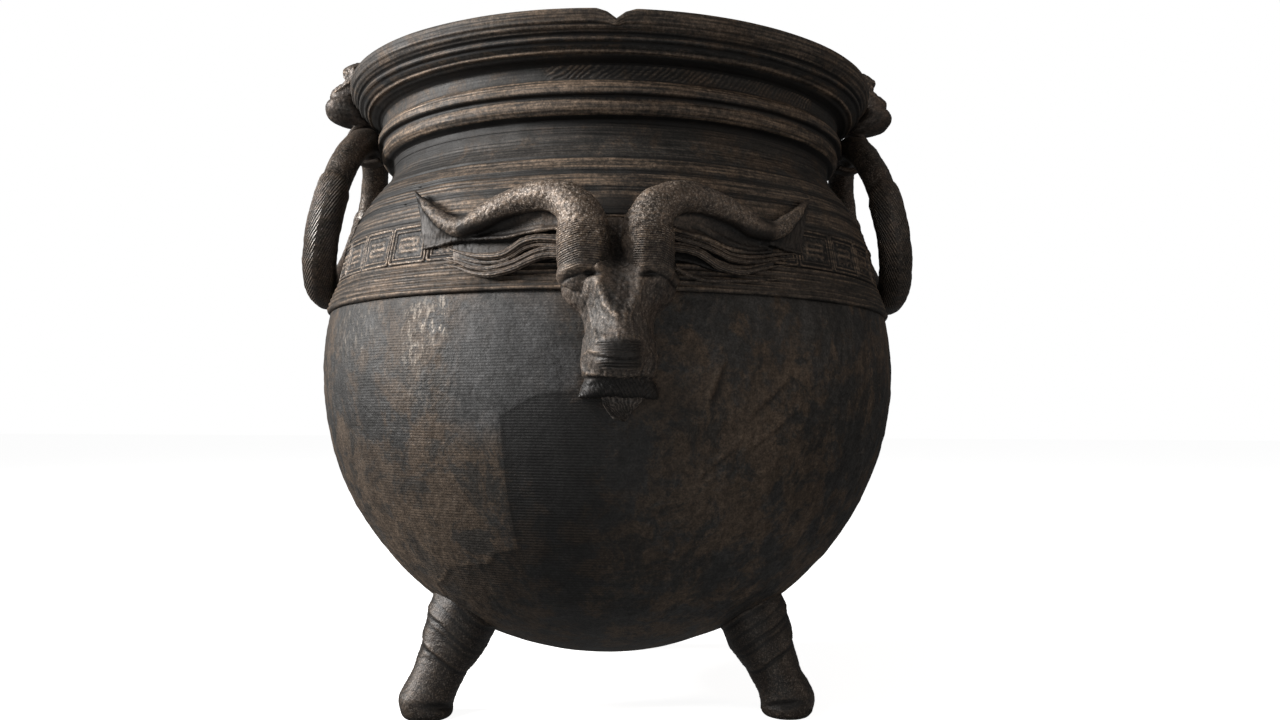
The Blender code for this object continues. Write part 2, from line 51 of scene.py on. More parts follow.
AXIS_Y = hinge["left_ring"][1]
PIVOT_RADIUS = hinge["right_ring"][0]
PIVOT_Z = hinge["right_ring"][2]
print("vessel axis", AXIS_Y, "ring pivots", PIVOT_RADIUS, PIVOT_Z)

# %% [markdown]
# ## Camera, light and floor
# A lens fitted to the rim's and the bands' ellipses puts the camera low, a little left of the middle, and
# looking slightly up. The picture is lit by one strong light from the left, so the left side is clear and the
# right side falls into the dark. A weaker one, high on the left in front, catches the shoulder, a weak warm
# one lifts the right, and two faint ones near the floor open the shadows under the belly. The floor and the
# air round it are plain and pale.

# %% Camera
LENS = 29.563
EYE_LEVEL = 0.2278
EYE_DISTANCE = 0.9010
EYE_ACROSS = -0.01195
EYE_TURN = (1.6264, -0.0063, -0.0427)

camera = bpy.data.objects.new("camera", bpy.data.cameras.new("camera"))
camera.data.lens = LENS
camera.location = (EYE_ACROSS, AXIS_Y - EYE_DISTANCE, EYE_LEVEL)
camera.rotation_euler = EYE_TURN
bpy.context.scene.collection.objects.link(camera)
bpy.context.scene.camera = camera
bpy.context.scene.view_settings.view_transform = "Standard"


# %% Lights
MIDDLE = (0.0, AXIS_Y, 0.27)
LIGHTS = [
    # name, place, the point it faces, size in metres, watts and colour
    ("key_light", (-2.2, -0.30, 1.0), MIDDLE, 0.6, 82, (1.0, 0.98, 0.96)),
    ("top_light", (-1.1, -1.1, 1.5), MIDDLE, 0.6, 11, (1.0, 0.96, 0.92)),
    ("warm_fill", (2.0, -0.9, 0.9), MIDDLE, 0.9, 4.8, (1.0, 0.86, 0.74)),
    ("front_glow", (0.0, -0.9, 0.03), (0.0, AXIS_Y, 0.12), 1.0, 1.3, (1.0, 0.98, 0.96)),
    ("floor_bounce", (-0.1, -0.30, 0.012), (-0.1, -0.28, 1.0), 0.8, 0.15, (1.0, 0.97, 0.94)),
]


def soft_light(name, place, aim, size, watts, colour):
    """A square area light at a place, turned so that it faces the point it is aimed at."""
    light = bpy.data.objects.new(name, bpy.data.lights.new(name, "AREA"))
    light.data.size = size
    light.data.energy = watts
    light.data.color = colour
    light.location = place
    direction = Vector(aim) - light.location
    light.rotation_euler = direction.to_track_quat("-Z", "Y").to_euler()
    bpy.context.scene.collection.objects.link(light)
    return light


lights = [soft_light(*light) for light in LIGHTS]
lights[-1].visible_camera = False
print([light.name for light in lights])

# %% The pale air
AIR_GLOW = 0.07
WHITE = (1, 1, 1, 1)

world = bpy.data.worlds.new("pale_air")
world.use_nodes = True
bpy.context.scene.world = world
air = world.node_tree
seen_white = air.nodes.new("ShaderNodeBackground")
seen_white.inputs["Strength"].default_value = 1.0
seen_white.inputs["Color"].default_value = WHITE
dim = air.nodes["Background"]
dim.inputs["Color"].default_value = WHITE
dim.inputs["Strength"].default_value = AIR_GLOW
seen = air.nodes.new("ShaderNodeLightPath")
either = air.nodes.new("ShaderNodeMixShader")
air.links.new(seen.outputs["Is Camera Ray"], either.inputs[0])
air.links.new(dim.outputs[0], either.inputs[1])
air.links.new(seen_white.outputs[0], either.inputs[2])
air.links.new(either.outputs[0], air.nodes["World Output"].inputs[0])

# %% The floor
FLOOR_HALF = 12.0
FLOOR_GLOW = 0.91
floor_mesh = bpy.data.meshes.new("floor")
corners = [(FLOOR_HALF * x, FLOOR_HALF * y, 0) for x, y in ((-1, -1), (1, -1), (1, 1), (-1, 1))]
floor_mesh.from_pydata(corners, [], [(0, 1, 2, 3)])
floor = bpy.data.objects.new("floor", floor_mesh)
bpy.context.scene.collection.objects.link(floor)
pale = bpy.data.materials.new("pale_floor")
pale.use_nodes = True
pale_shader = pale.node_tree.nodes["Principled BSDF"]
pale_shader.inputs["Base Color"].default_value = (0.95, 0.95, 0.95, 1)
pale_shader.inputs["Roughness"].default_value = 0.9
pale_shader.inputs["Specular IOR Level"].default_value = 0.0
pale_shader.inputs["Emission Color"].default_value = WHITE
pale_shader.inputs["Emission Strength"].default_value = FLOOR_GLOW
floor.data.materials.append(pale)
floor.visible_diffuse = False
floor.visible_glossy = False

# %% [markdown]
# ## Small tools for the metalwork
# Everything is worked out on whole arrays: a soft step, a raised bar, a gentle unevenness such as a hand-made
# mould leaves, and a smooth curve through a few measured stations.


# %% Steps, bars, unevenness and curves
def ease(values, low, high):
    """0 below low, 1 above high and a smooth S between: 3 times the share squared less 2 times its cube."""
    share = np.clip((values - low) / (high - low), 0.0, 1.0)
    return share * share * (3 - 2 * share)


def bar(values, start, end, edge):
    """1 from start to end and 0 outside, with both edges sloping over a width."""
    return ease(values, start, start + edge) * (1 - ease(values, end - edge, end))


def bump(values, middle, width):
    """A bell: e to the minus square of the distance from the middle in widths."""
    return np.exp(-(((values - middle) / width) ** 2))


def waves(points, size, seed, count=18):
    """Unevenness from about -1 to 1: a sum of cosine waves near one length, each in its own direction."""
    chance = np.random.default_rng(seed)
    directions = chance.normal(size=(count, 3))
    directions /= np.linalg.norm(directions, axis=1)[:, None]
    lengths = size * chance.uniform(0.7, 1.4, count)
    starts = chance.uniform(0, 2 * np.pi, count)
    turns = points @ (2 * np.pi * directions / lengths[:, None]).T + starts
    return np.cos(turns).sum(-1) / np.sqrt(count)


def flowing(stations, count):
    """Points along a Catmull-Rom curve: a cubic between each two stations, steered by their neighbours."""
    known = np.array(stations, float)
    padded = np.vstack([2 * known[0] - known[1], known, 2 * known[-1] - known[-2]])
    reach = np.linspace(0, len(known) - 1, count)
    span = np.minimum(reach.astype(int), len(known) - 2)
    t = (reach - span)[:, None]
    before, start, end, after = (padded[span + shift] for shift in range(4))
    bend = (2 * before - 5 * start + 4 * end - after) * t**2
    twist = (3 * start - before - 3 * end + after) * t**3
    return (2 * start + (end - before) * t + bend + twist) / 2


def evenly(points, spacing):
    """Points at an even spacing along a line, by its length."""
    points = np.asarray(points, float)
    length = np.append(0, np.cumsum(np.linalg.norm(np.diff(points, axis=0), axis=1)))
    wanted = np.linspace(0, length[-1], max(2, round(length[-1] / spacing) + 1))
    return np.stack([np.interp(wanted, length, column) for column in points.T], 1)


def softened(points, passes):
    """Each inner point drawn to a quarter of each neighbour and a half of itself, a few times."""
    points = points.copy()
    for _ in range(passes):
        points[1:-1] = points[:-2] / 4 + points[1:-1] / 2 + points[2:] / 4
    return points


# %% Turning arrays into closed meshes
def wrapped_quads(rows, columns, wrap_rows=False):
    """The four-sided faces of a grid whose last column meets its first, and its last row too if asked."""
    index = np.arange(rows * columns).reshape(rows, columns)
    if wrap_rows:
        index = np.vstack([index, index[:1]])
    beside = np.roll(index, -1, axis=1)
    return np.stack([index[:-1], beside[:-1], beside[1:], index[1:]], -1).reshape(-1, 4)


def capped(points):
    """Vertices and faces of a grid closed round its columns, with a point in the middle of each end."""
    rows, columns = points.shape[:2]
    flat = np.vstack([points.reshape(-1, 3), points[0].mean(0), points[-1].mean(0)])
    here = np.arange(columns)
    ahead = np.roll(here, -1)
    last = (rows - 1) * columns
    first_cap = np.stack([ahead, here, np.full(columns, rows * columns)], 1)
    last_cap = np.stack([last + here, last + ahead, np.full(columns, rows * columns + 1)], 1)
    return flat, wrapped_quads(rows, columns).tolist() + first_cap.tolist() + last_cap.tolist()


def ring_of(points):
    """Vertices and faces of a grid that closes on itself both ways."""
    return points.reshape(-1, 3), wrapped_quads(*points.shape[:2], wrap_rows=True).tolist()


def about_axis(radius, angle, height):
    """Points at a distance from the axis and an angle from the front: its sine and minus cosine."""
    across = radius * np.sin(angle)
    along = AXIS_Y - radius * np.cos(angle)
    return np.stack(np.broadcast_arrays(across, along, height), -1)


def mesh_from(name, parts):
    """One mesh from closed parts, each a pair of vertices and faces, with every face turned outwards."""
    vertices, faces = [], []
    for points, part_faces in parts:
        shift = sum(len(known) for known in vertices)
        vertices.append(points)
        faces += [[corner + shift for corner in face] for face in part_faces]
    mesh = bpy.data.meshes.new(name)
    mesh.from_pydata(np.vstack(vertices), [], faces)
    shape = bmesh.new()
    shape.from_mesh(mesh)
    bmesh.ops.recalc_face_normals(shape, faces=shape.faces)
    shape.to_mesh(mesh)
    shape.free()
    return mesh


def coordinates(mesh, what="co"):
    """The places or the normals of a mesh's vertices, as an array."""
    values = np.empty(len(mesh.vertices) * 3, np.float32)
    mesh.vertices.foreach_get(what, values)
    return values.reshape(-1, 3).astype(float)


def shown(name, mesh, body, slot, nodes, **masks):
    """Puts a finished mesh in the scene: smooth, with masks, on its body and in place of its CAD nodes."""
    for mask, values in masks.items():
        mesh.attributes.new(mask, "FLOAT", "POINT").data.foreach_set("value", np.asarray(values, np.float32))
    mesh.shade_smooth()
    piece = bpy.data.objects.new(name, mesh)
    bpy.context.scene.collection.objects.link(piece)
    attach(piece, body)
    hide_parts(*nodes)
    corners = coordinates(mesh)
    mesh.calc_loop_triangles()
    print(name, len(mesh.loop_triangles), "triangles", corners.min(0).round(4), corners.max(0).round(4))
    return piece


# %% [markdown]
# ## The vessel's profile
# A founder would shape the wax or clay of such a pot on a turning table with a cut template, so the whole
# outside is one profile turned about an axis. It could be a Screw or a Spin, but every ridge is placed by its
# measured height, and one array of radii and heights makes that simple. The mouldings are straight runs with
# small rounds, and the shoulder and the bowl are smooth curves.

# %% Mouldings from the rim down
RIM_Z = 0.5000
BELLY_RADIUS = 0.2345
BOWL_DEPTH = 0.2281
BOWL_BOTTOM = 0.0366
EQUATOR_Z = BOWL_BOTTOM + BOWL_DEPTH
WALL = 0.0060
LINES_Z = 0.3100
FRET_Z = 0.3320


def bowl_radius(height):
    """The bowl's outer radius: an ellipse turned about the axis."""
    return BELLY_RADIUS * np.sqrt(np.clip(1 - ((height - EQUATOR_Z) / BOWL_DEPTH) ** 2, 0, 1))


RIM_FACE = [
    # radius and height in metres, as in the profiles below
    (0.2165, 0.5000), (0.2186, 0.4994), (0.2192, 0.4978), (0.2189, 0.4950), (0.2178, 0.4908),
    (0.2148, 0.4872), (0.2112, 0.4842), (0.2104, 0.4832), (0.2118, 0.4818), (0.2113, 0.4804),
    (0.2092, 0.4794), (0.2082, 0.4784), (0.2070, 0.4772), (0.2048, 0.4762), (0.2040, 0.4750),
    (0.2020, 0.4736), (0.1975, 0.4716), (0.1948, 0.4704),
]
COVE_AND_COLLAR = [
    (0.1926, 0.4686), (0.1921, 0.4655), (0.1922, 0.4605), (0.1930, 0.4588), (0.1955, 0.4562),
    (0.1962, 0.4538), (0.1962, 0.4502), (0.1956, 0.4494), (0.1926, 0.4489), (0.1921, 0.4478),
    (0.1926, 0.4468), (0.1916, 0.4461),
]
TORUS = [
    (0.1927, 0.4450), (0.1931, 0.4425), (0.1925, 0.4398), (0.1910, 0.4374), (0.1886, 0.4357),
    (0.1858, 0.4347), (0.1844, 0.4335), (0.1842, 0.4300), (0.1843, 0.4230),
]
SHOULDER = [
    (0.1843, 0.4230), (0.1862, 0.4178), (0.1901, 0.4121), (0.2007, 0.3988), (0.2109, 0.3825),
    (0.2164, 0.3680), (0.2193, 0.3626),
]
FRET_BED = [(0.2195, 0.3618), (0.2193, 0.3612), (0.2178, 0.3608), (0.2222, 0.3334), (0.2240, 0.3330)]
line_heights = np.linspace(0.3324, 0.3112, 24)
line_share = (line_heights - LINES_Z) / (FRET_Z - LINES_Z)
LINE_BAND = np.stack([bowl_radius(line_heights) + (1 - 0.75 * line_share) * 0.0029, line_heights], 1)
turns = np.linspace(np.arcsin(0.0448 / BOWL_DEPTH), -np.pi / 2, 60)
BOWL = np.stack([BELLY_RADIUS * np.cos(turns), EQUATOR_Z + BOWL_DEPTH * np.sin(turns)], 1)

fine_part = softened(evenly(RIM_FACE + COVE_AND_COLLAR + TORUS, 0.00048), 3)
shoulder_part = evenly(flowing(SHOULDER, 200), 0.00058)
fret_bed_part = evenly(FRET_BED, 0.0025)
line_part = softened(evenly(LINE_BAND, 0.00055), 1)
bowl_part = evenly(BOWL, 0.0021)[:-1]
print("rows", [len(part) for part in (fine_part, shoulder_part, fret_bed_part, line_part, bowl_part)])

# %% [markdown]
# ### Ridges and grooves
# The rim's face carries seven fine ridges, the waist has fine turned lines, the shoulder is parted into worn
# tan bands by dark grooves, and six ridges end the carved part. Each is a small bell added to the profile
# along its own outward direction, so its width and height can be changed without touching the mouldings.

# %% Ridges as bells on the profile
SINGLE_RIDGES = [
    # level, width and height, which is less than 0 for a groove
    (0.4972, 0.0006, 0.00015), (0.4951, 0.0009, 0.00018), (0.4929, 0.0005, 0.00013),
    (0.4912, 0.0006, 0.00018), (0.4890, 0.0005, 0.00014), (0.4871, 0.0006, 0.00024),
    (0.4857, 0.0005, 0.00020), (0.4963, 0.0005, -0.00012), (0.4938, 0.0005, -0.00012),
    (0.4900, 0.0006, -0.00018), (0.4845, 0.0007, -0.00030), (0.4822, 0.0008, 0.0006),
    (0.4795, 0.0007, -0.0005), (0.4752, 0.0008, 0.0006), (0.4738, 0.0006, -0.0004),
    (0.4568, 0.0006, 0.0003), (0.4545, 0.0005, 0.0003), (0.4521, 0.0004, 0.0003),
    (0.4508, 0.0004, 0.0003), (0.4556, 0.0004, -0.0003), (0.4436, 0.0007, 0.0002),
    (0.4404, 0.0006, 0.0002), (0.4302, 0.0006, 0.0003), (0.3958, 0.0007, 0.0004),
    (0.3828, 0.0008, 0.0004), (0.3772, 0.0008, 0.0004), (0.3676, 0.0007, 0.0003),
]
ALIKE_RIDGES = [
    # width, height and the levels of all the ridges or grooves of that shape
    (0.0005, 0.00030, [0.4286, 0.4270, 0.4254, 0.4238, 0.4216, 0.4195, 0.4168]),
    (0.0005, 0.00030, [0.4145, 0.4122, 0.4098, 0.4078]),
    (0.0007, 0.00024, [0.4028, 0.4004, 0.3980, 0.3892, 0.3868, 0.3842, 0.3742, 0.3714, 0.3690]),
    (0.0006, -0.00090, [0.4055, 0.3942, 0.3922, 0.3812, 0.3790, 0.3650]),
    (0.0009, 0.00080, [0.3318, 0.3279, 0.3236, 0.3197, 0.3164, 0.3126]),
    (0.0008, -0.00060, [0.3298, 0.3256, 0.3216, 0.3180, 0.3145]),
]
RIDGES = SINGLE_RIDGES + [(level, width, tall) for width, tall, levels in ALIKE_RIDGES for level in levels]


def outward(profile):
    """The unit normal at each point of a profile that runs downwards, pointing away from the axis."""
    along = np.gradient(profile, axis=0)
    along /= np.linalg.norm(along, axis=1)[:, None]
    return np.stack([-along[:, 1], along[:, 0]], 1)


def ridged(profile):
    """The profile with every ridge added along its normal."""
    height = sum(tall * bump(profile[:, 1], middle, width) for middle, width, tall in RIDGES)
    return profile + height[:, None] * outward(profile)


behind_frets = [(0.2196, 0.3605), (0.2241, 0.3320)]
plain_outer = np.vstack([fine_part, shoulder_part[1:], behind_frets, line_part, bowl_part])
rising = plain_outer[np.argsort(plain_outer[:, 1])]


def wall_radius(height):
    """The outer wall's radius at a height, without its ridges."""
    return np.interp(height, rising[:, 1], rising[:, 0])


# %% [markdown]
# ### Turning the profile
# The vessel is made in two shells, the neck down to the last ridge and the bowl, so that each keeps a
# sensible number of faces. The bowl plugs into the neck with a hidden tongue. The columns stand closer at
# the front, where the patina is richest. The rim over the ram's head is worn down in a V and the ridges
# under it dip with it, so the wear is a drop that fades out over the rim's face. No line on a hand-turned
# pot is quite level, so fine lines wander a little, and the bowl is left lumpy, as an old casting is.

# %% Two closed profiles
JOINT_Z = 0.3102
INNER = [
    (0.2087, 0.5000), (0.2080, 0.4985), (0.1935, 0.4762), (0.1868, 0.4660), (0.1862, 0.4604),
    (0.1783, 0.4352), (0.1781, 0.4215), (0.1885, 0.4000), (0.2035, 0.3735), (0.2160, 0.3400),
    (0.2232, JOINT_Z),
]
inner_turns = np.linspace(np.arcsin((JOINT_Z - EQUATOR_Z) / (BOWL_DEPTH - WALL)), -np.pi / 2, 56)
inner_radius = (BELLY_RADIUS - WALL) * np.cos(inner_turns)
inner_height = EQUATOR_Z + (BOWL_DEPTH - WALL) * np.sin(inner_turns)
INNER_BOWL = np.stack([inner_radius, inner_height], 1)[:-1]
inner_neck = softened(evenly(flowing(INNER, 120), 0.0045), 2)
TONGUE = [
    (0.2232, JOINT_Z + 0.0002), (0.2250, JOINT_Z + 0.0002), (0.2250, 0.3140), (0.2285, 0.3140),
    (0.2290, 0.3106),
]

foot = [(0.2318, JOINT_Z)]
outer_neck = np.vstack([ridged(fine_part), ridged(shoulder_part)[1:], fret_bed_part, ridged(line_part), foot])
neck_profile = np.vstack([outer_neck, inner_neck[::-1]])
bowl_profile = np.vstack([INNER_BOWL[::-1], TONGUE, bowl_part])
print("neck", len(neck_profile), "rows, bowl", len(bowl_profile), "rows")

# %% The worn notch
NOTCH_WIDTH = 0.0270
NOTCH_DEPTH = 0.0042
NOTCH_REACH = 0.0150
SPLIT_HALF = 0.0062
SPLIT_DEPTH = 0.0026


def worn_notch(points):
    """Lowers the rim's top in a V over the ram's head, less and less down the rim's face."""
    front = points[..., 1] < AXIS_Y
    drop = np.clip(1 - np.abs(points[..., 0]) / (NOTCH_WIDTH / 2), 0, 1) * NOTCH_DEPTH
    split = np.clip(1 - np.abs(points[..., 0]) / SPLIT_HALF, 0, 1) * SPLIT_DEPTH
    split = split * ease(points[..., 2], RIM_Z - NOTCH_REACH, RIM_Z - 0.004)
    points[..., 2] -= np.where(front, drop * ease(points[..., 2], RIM_Z - NOTCH_REACH, RIM_Z) + split, 0)
    return points


# %% Wandering lines and lumps
LONG_LUMPS, SHORT_LUMPS = 0.00045, 0.00016


def turned_lines(height, azimuth, seed, shortest, longest, count=16):
    """Fine level lines from about -1 to 1: cosines of the height whose phase drifts round the vessel."""
    chance = np.random.default_rng(seed)
    total = 0.0
    least, most = (shortest, 0, 0.6, 1, 0), (longest, 6.28, 2.2, 5, 6.28)
    for _ in range(count):
        length, start, wander, lobes, offset = chance.uniform(least, most)
        drift = wander * np.sin(np.floor(lobes) * np.radians(azimuth) + offset)
        total = total + np.cos(2 * np.pi * height / length + start + drift)
    return total / np.sqrt(count)


def facing(values, low, high, edge):
    """1 where an angle or a height lies between two bounds, with soft edges of a width."""
    return ease(values, low - edge, low + edge) * (1 - ease(values, high - edge, high + edge))


def swelling(points):
    """The slow unevenness of the whole casting, in metres."""
    calm = 1 - ease(points[..., 2], 0.40, 0.498)
    lumps = LONG_LUMPS * waves(points, 0.10, 3) + SHORT_LUMPS * waves(points, 0.022, 4)
    return lumps * (0.15 + 0.85 * calm)


def shell(profile, degrees, relief):
    """A profile turned at some angles, with a relief added along its normals."""
    angles = np.radians(degrees)
    points = about_axis(profile[:, :1], angles, profile[:, 1:])
    push = relief(points, (degrees + 180) % 360 - 180 + 0 * points[..., 2])
    out = outward(profile)
    points[..., :2] += (push * out[:, :1])[..., None] * np.stack([np.sin(angles), -np.cos(angles)], -1)
    points[..., 2] += push * out[:, 1:]
    return points


# %% The neck: everything above the bowl
neck_degrees = np.concatenate([
    np.arange(-6, -3, 0.5), np.arange(-3, 3, 0.25), np.arange(3, 6, 0.5), np.arange(6, 62, 1.0),
    np.arange(62, 298, 3.6), np.arange(298, 354, 1.0),
])
on_outside = (np.arange(len(neck_profile)) < len(outer_neck))[:, None]
FINE_LINE_HEIGHT, RIM_LINE_HEIGHT = 0.00013, 0.00012


def neck_relief(points, azimuth):
    """Swelling and fine turned lines, all on the outside only."""
    height = points[..., 2]
    fine = turned_lines(height, azimuth, 5, 0.0013, 0.0034)
    cove = facing(height, 0.4590, 0.4700, 0.0010)
    calm = (1 - cove) * facing(height, 0.3120, 0.4975, 0.0010)
    on_rim = facing(height, 0.4840, 0.4985, 0.0010)
    rim_lines = turned_lines(height, azimuth, 6, 0.0016, 0.0060)
    relief = swelling(points) + FINE_LINE_HEIGHT * fine * calm + RIM_LINE_HEIGHT * rim_lines * on_rim
    return relief * on_outside


neck_points = worn_notch(shell(neck_profile, neck_degrees, neck_relief))
neck_mesh = mesh_from("cauldron_neck", [ring_of(neck_points)])
print("neck points", neck_points.shape)

# %% The bowl, with its dark patch and creases
bowl_degrees = np.concatenate([np.arange(-75, 75, 0.5), np.arange(75, 285, 3.0)])
bowl_outside = (np.arange(len(bowl_profile)) >= len(INNER_BOWL) + len(TONGUE))[:, None]
# the dark patch's left edge as heights and degrees, and its top edge as degrees and heights
PATCH_LEFT = (
    [0.060, 0.088, 0.094, 0.104, 0.110, 0.122, 0.128, 0.136, 0.1395, 0.230],
    [-74, -62, -52, -50, -44, -38, -26, -24, -18.6, -18.4],
)
PATCH_TOP = ([-18.5, -12.0, 0.0, 20.0], [0.2290, 0.2432, 0.2465, 0.2480])
METRES_A_DEGREE = 0.0040
CREASES = [
    # degrees from the front, degrees of slant in a decimetre, lowest and highest place
    (29.0, 34.0, 0.235, 0.270), (21.0, 30.0, 0.258, 0.290), (14.0, 8.0, 0.255, 0.285),
    (25.0, 30.0, 0.205, 0.235),
]
CREASE_HEIGHT, PATCH_SINK, LEATHER_HEIGHT = 0.00150, 0.00030, 0.00055


def patch_depth(azimuth, height):
    """How far inside the dark patch a place is, in metres: less than 0 outside it."""
    left = (azimuth - np.interp(height, *PATCH_LEFT)) * METRES_A_DEGREE
    top = np.interp(azimuth, *PATCH_TOP) - height
    return np.minimum(left, top)


def wrinkled(azimuth, height, size, seed):
    """Waves drawn out two and a half times along a steep slant, as wrinkles in old leather run."""
    across, up = np.radians(azimuth) * BELLY_RADIUS, height + 0 * azimuth
    slanted = np.stack([0.40 * (0.50 * across + 0.86 * up), 0.86 * across - 0.50 * up, 0 * across], -1)
    return waves(slanted, size, seed, 30)


def creases_at(azimuth, height):
    """Four slanting creases: a ridge with a groove a degree beside it."""
    total = 0.0
    for place, slope, low, high in CREASES:
        beside = azimuth - slope * (height - 0.225) / 0.1 - place
        crease = bump(beside, 0, 0.55) - 0.7 * bump(beside, 1.0, 0.7)
        total = total + crease * facing(height + 0.0012 * azimuth, low, high, 0.006)
    return total


def bowl_relief(points, azimuth):
    """Swelling, wrinkles and lumps like old leather, creases, and the patch a third of a millimetre lower."""
    height = points[..., 2]
    leather = np.abs(wrinkled(azimuth, height, 0.0085, 8)) + 0.7 * np.abs(waves(points, 0.0085, 9, 30))
    lumps = LEATHER_HEIGHT * (leather - 1.0) + 0.00012 * waves(points, 0.0070, 10, 30)
    lumps *= 0.35 + 0.75 * facing(azimuth, 4, 62, 6) - 0.22 * facing(azimuth, -26, 2, 4)
    creases = creases_at(azimuth, height)
    patch = ease(patch_depth(azimuth, height), -0.001, 0.001) * (1 - ease(azimuth, 0, 16))
    edge = bump(patch_depth(azimuth, height), -0.0030, 0.0022) * facing(azimuth, -60, -22, 3)
    relief = lumps + PATCH_SINK * (edge - patch) + CREASE_HEIGHT * creases
    settled = ease(0.3095 - height, 0.0, 0.006) * ease(height, 0.05, 0.10)
    return (swelling(points) * ease(height, 0.03, 0.06) + relief * settled) * bowl_outside


bowl_points = shell(bowl_profile, bowl_degrees, bowl_relief)
bowl_mesh = mesh_from("cauldron_bowl", [capped(bowl_points)])
print("bowl points", bowl_points.shape)

# %% [markdown]
# ### Where the vessel is worn and where it is dark
# The finish needs to know what each place of the surface is: the tan bands, the raised lines that hands and
# cloths polish, the grooves with their dirt, the grey sheen on the left of the bowl, the light bloom beside
# it and the dark patch of turned lines below the beard. Some are painted light and shade: shadows under the
# rim, the collar and the torus, shade on the left of the neck and of the bowl and right of the beard, and
# highlights and shade on the bowl's creases and wrinkles. These masks are soft bounds on the height and on
# the angle from the front, kept with the mesh, so the material doesn't depend on any view.

# %% Masks of the neck
TAN_BANDS = [
    # lowest level, highest level and strength
    (0.4860, 0.5000, 0.62), (0.4742, 0.4762, 0.80), (0.4536, 0.4590, 1.20), (0.4502, 0.4530, 0.65),
    (0.4362, 0.4462, 1.00), (0.3962, 0.4046, 0.90), (0.3822, 0.3914, 0.90), (0.3660, 0.3768, 0.90),
    (0.3100, 0.3330, 0.45), (0.3600, 0.3626, 0.45),
]
# the first three bands are painted shadows under the rim, the collar and the torus; the last two are dark
# grooves on the rim's face
DARK_BANDS = [
    # lowest level, highest level and strength
    (0.4690, 0.4730, 1.0), (0.4474, 0.4494, 1.0), (0.4310, 0.4360, 1.0), (0.4838, 0.4856, 0.6),
    (0.4784, 0.4796, 0.9),
]
FULL_RIDGE = 0.0006


def masks_of_neck(azimuth):
    """What each place of the neck is: worn, darkened by dirt and painted shade, and so on."""
    height = neck_profile[:, 1:] + 0 * azimuth
    ridge = sum(tall / FULL_RIDGE * bump(height, middle, width) for middle, width, tall in RIDGES)
    lines = turned_lines(height, azimuth, 5, 0.0013, 0.0034)
    tan = sum(amount * facing(height, low, high, 0.0005) for low, high, amount in TAN_BANDS)
    tan = tan * (0.76 + 0.24 * lines) + np.clip(ridge, 0, 1) * 0.34
    dark = sum(amount * facing(height, low, high, 0.0006) for low, high, amount in DARK_BANDS)
    rim_lines = turned_lines(height, azimuth, 6, 0.0016, 0.0060) * facing(height, 0.4840, 0.4985, 0.0010)
    dark_cove = facing(height, 0.4590, 0.4705, 0.0010)
    dark = dark + 0.60 * np.clip(-ridge, 0, 1) + 0.28 * np.clip(-lines, 0, 1)
    dark = dark + 0.30 * np.clip(-rim_lines, 0, 1)
    # painted shade: the waist under the torus is darker all round
    dark = dark + 0.30 * dark_cove + 0.42 * facing(height, 0.4225, 0.4345, 0.001)
    # painted shade: the left of the neck and of the shoulder is darker
    left = facing(azimuth, -95, -34, 10) * facing(height, 0.364, 0.4345, 0.003)
    dark = dark + 0.50 * left
    tan = tan * (1 - 0.75 * facing(azimuth, -95, -30, 12) * ease(height, 0.474, 0.484))
    behind_head = facing(azimuth, -3.5, 3.5, 1.5) * facing(height, 0.3150, 0.3750, 0.004)
    fresh = (
        facing(azimuth, -52, -26, 1.0) * facing(height, 0.434, 0.459, 0.002)
        + facing(azimuth, -58, -24, 1.2) * facing(height, 0.362, 0.405, 0.002)
    )
    grey = ease(azimuth, 12, 40) * facing(height, 0.36, 0.42, 0.004)
    return {
        "worn": np.clip(tan * (1 + 0.10 * fresh - 0.35 * grey - 0.08 * left), 0, 1.3) * on_outside,
        "hollow": np.clip(dark + behind_head, 0, 1) * on_outside,
        "grain": (0.25 + 0.5 * facing(height, 0.4362, 0.4462, 0.001)) * on_outside + 0 * azimuth,
    }


neck_azimuth = (neck_degrees + 180) % 360 - 180 + 0 * neck_points[..., 2]
neck = shown(
    "cauldron_neck", neck_mesh, "cauldron", "dark_bronze", ["cauldron_body"],
    **{mask: values.ravel() for mask, values in masks_of_neck(neck_azimuth).items()},
)

# %% Masks of the bowl
# each spot is an amount, then the low and high bound and the soft edge, in degrees and then in metres
SHEEN_SPOTS = [
    (1.00, (-27, -8, 4), (0.215, 0.309, 0.012)), (0.12, (-62, -30, 8), (0.235, 0.309, 0.012)),
    (0.80, (-10.5, -5.5, 0.8), (0.246, 0.272, 0.004)),
]
BLOOM_SPOTS = [
    (0.35, (-37.5, -32, 1.5), (0.235, 0.309, 0.012)), (0.55, (-37.5, -32, 1.5), (0.268, 0.306, 0.006)),
    (0.90, (-31.5, -28.0, 1.0), (0.275, 0.309, 0.008)), (0.35, (-60, -44, 3), (0.270, 0.306, 0.010)),
]
EARTH_SPOTS = [
    (1.00, (-62, -16, 6), (0.115, 0.215, 0.020)), (0.60, (-62, -16, 6), (0.04, 0.115, 0.01)),
    (0.80, (6, 42, 8), (0.120, 0.290, 0.030)),
]
SHADE_SPOTS = [(0.31, (-7, 15, 7), (0.08, 0.25, 0.03)), (0.16, (3, 30, 4), (0.23, 0.309, 0.010))]


def spots(azimuth, height, places):
    """The sum of soft-edged spots, each an amount times its bounds in angle and in height."""
    return sum(amount * facing(azimuth, *across) * facing(height, *up) for amount, across, up in places)


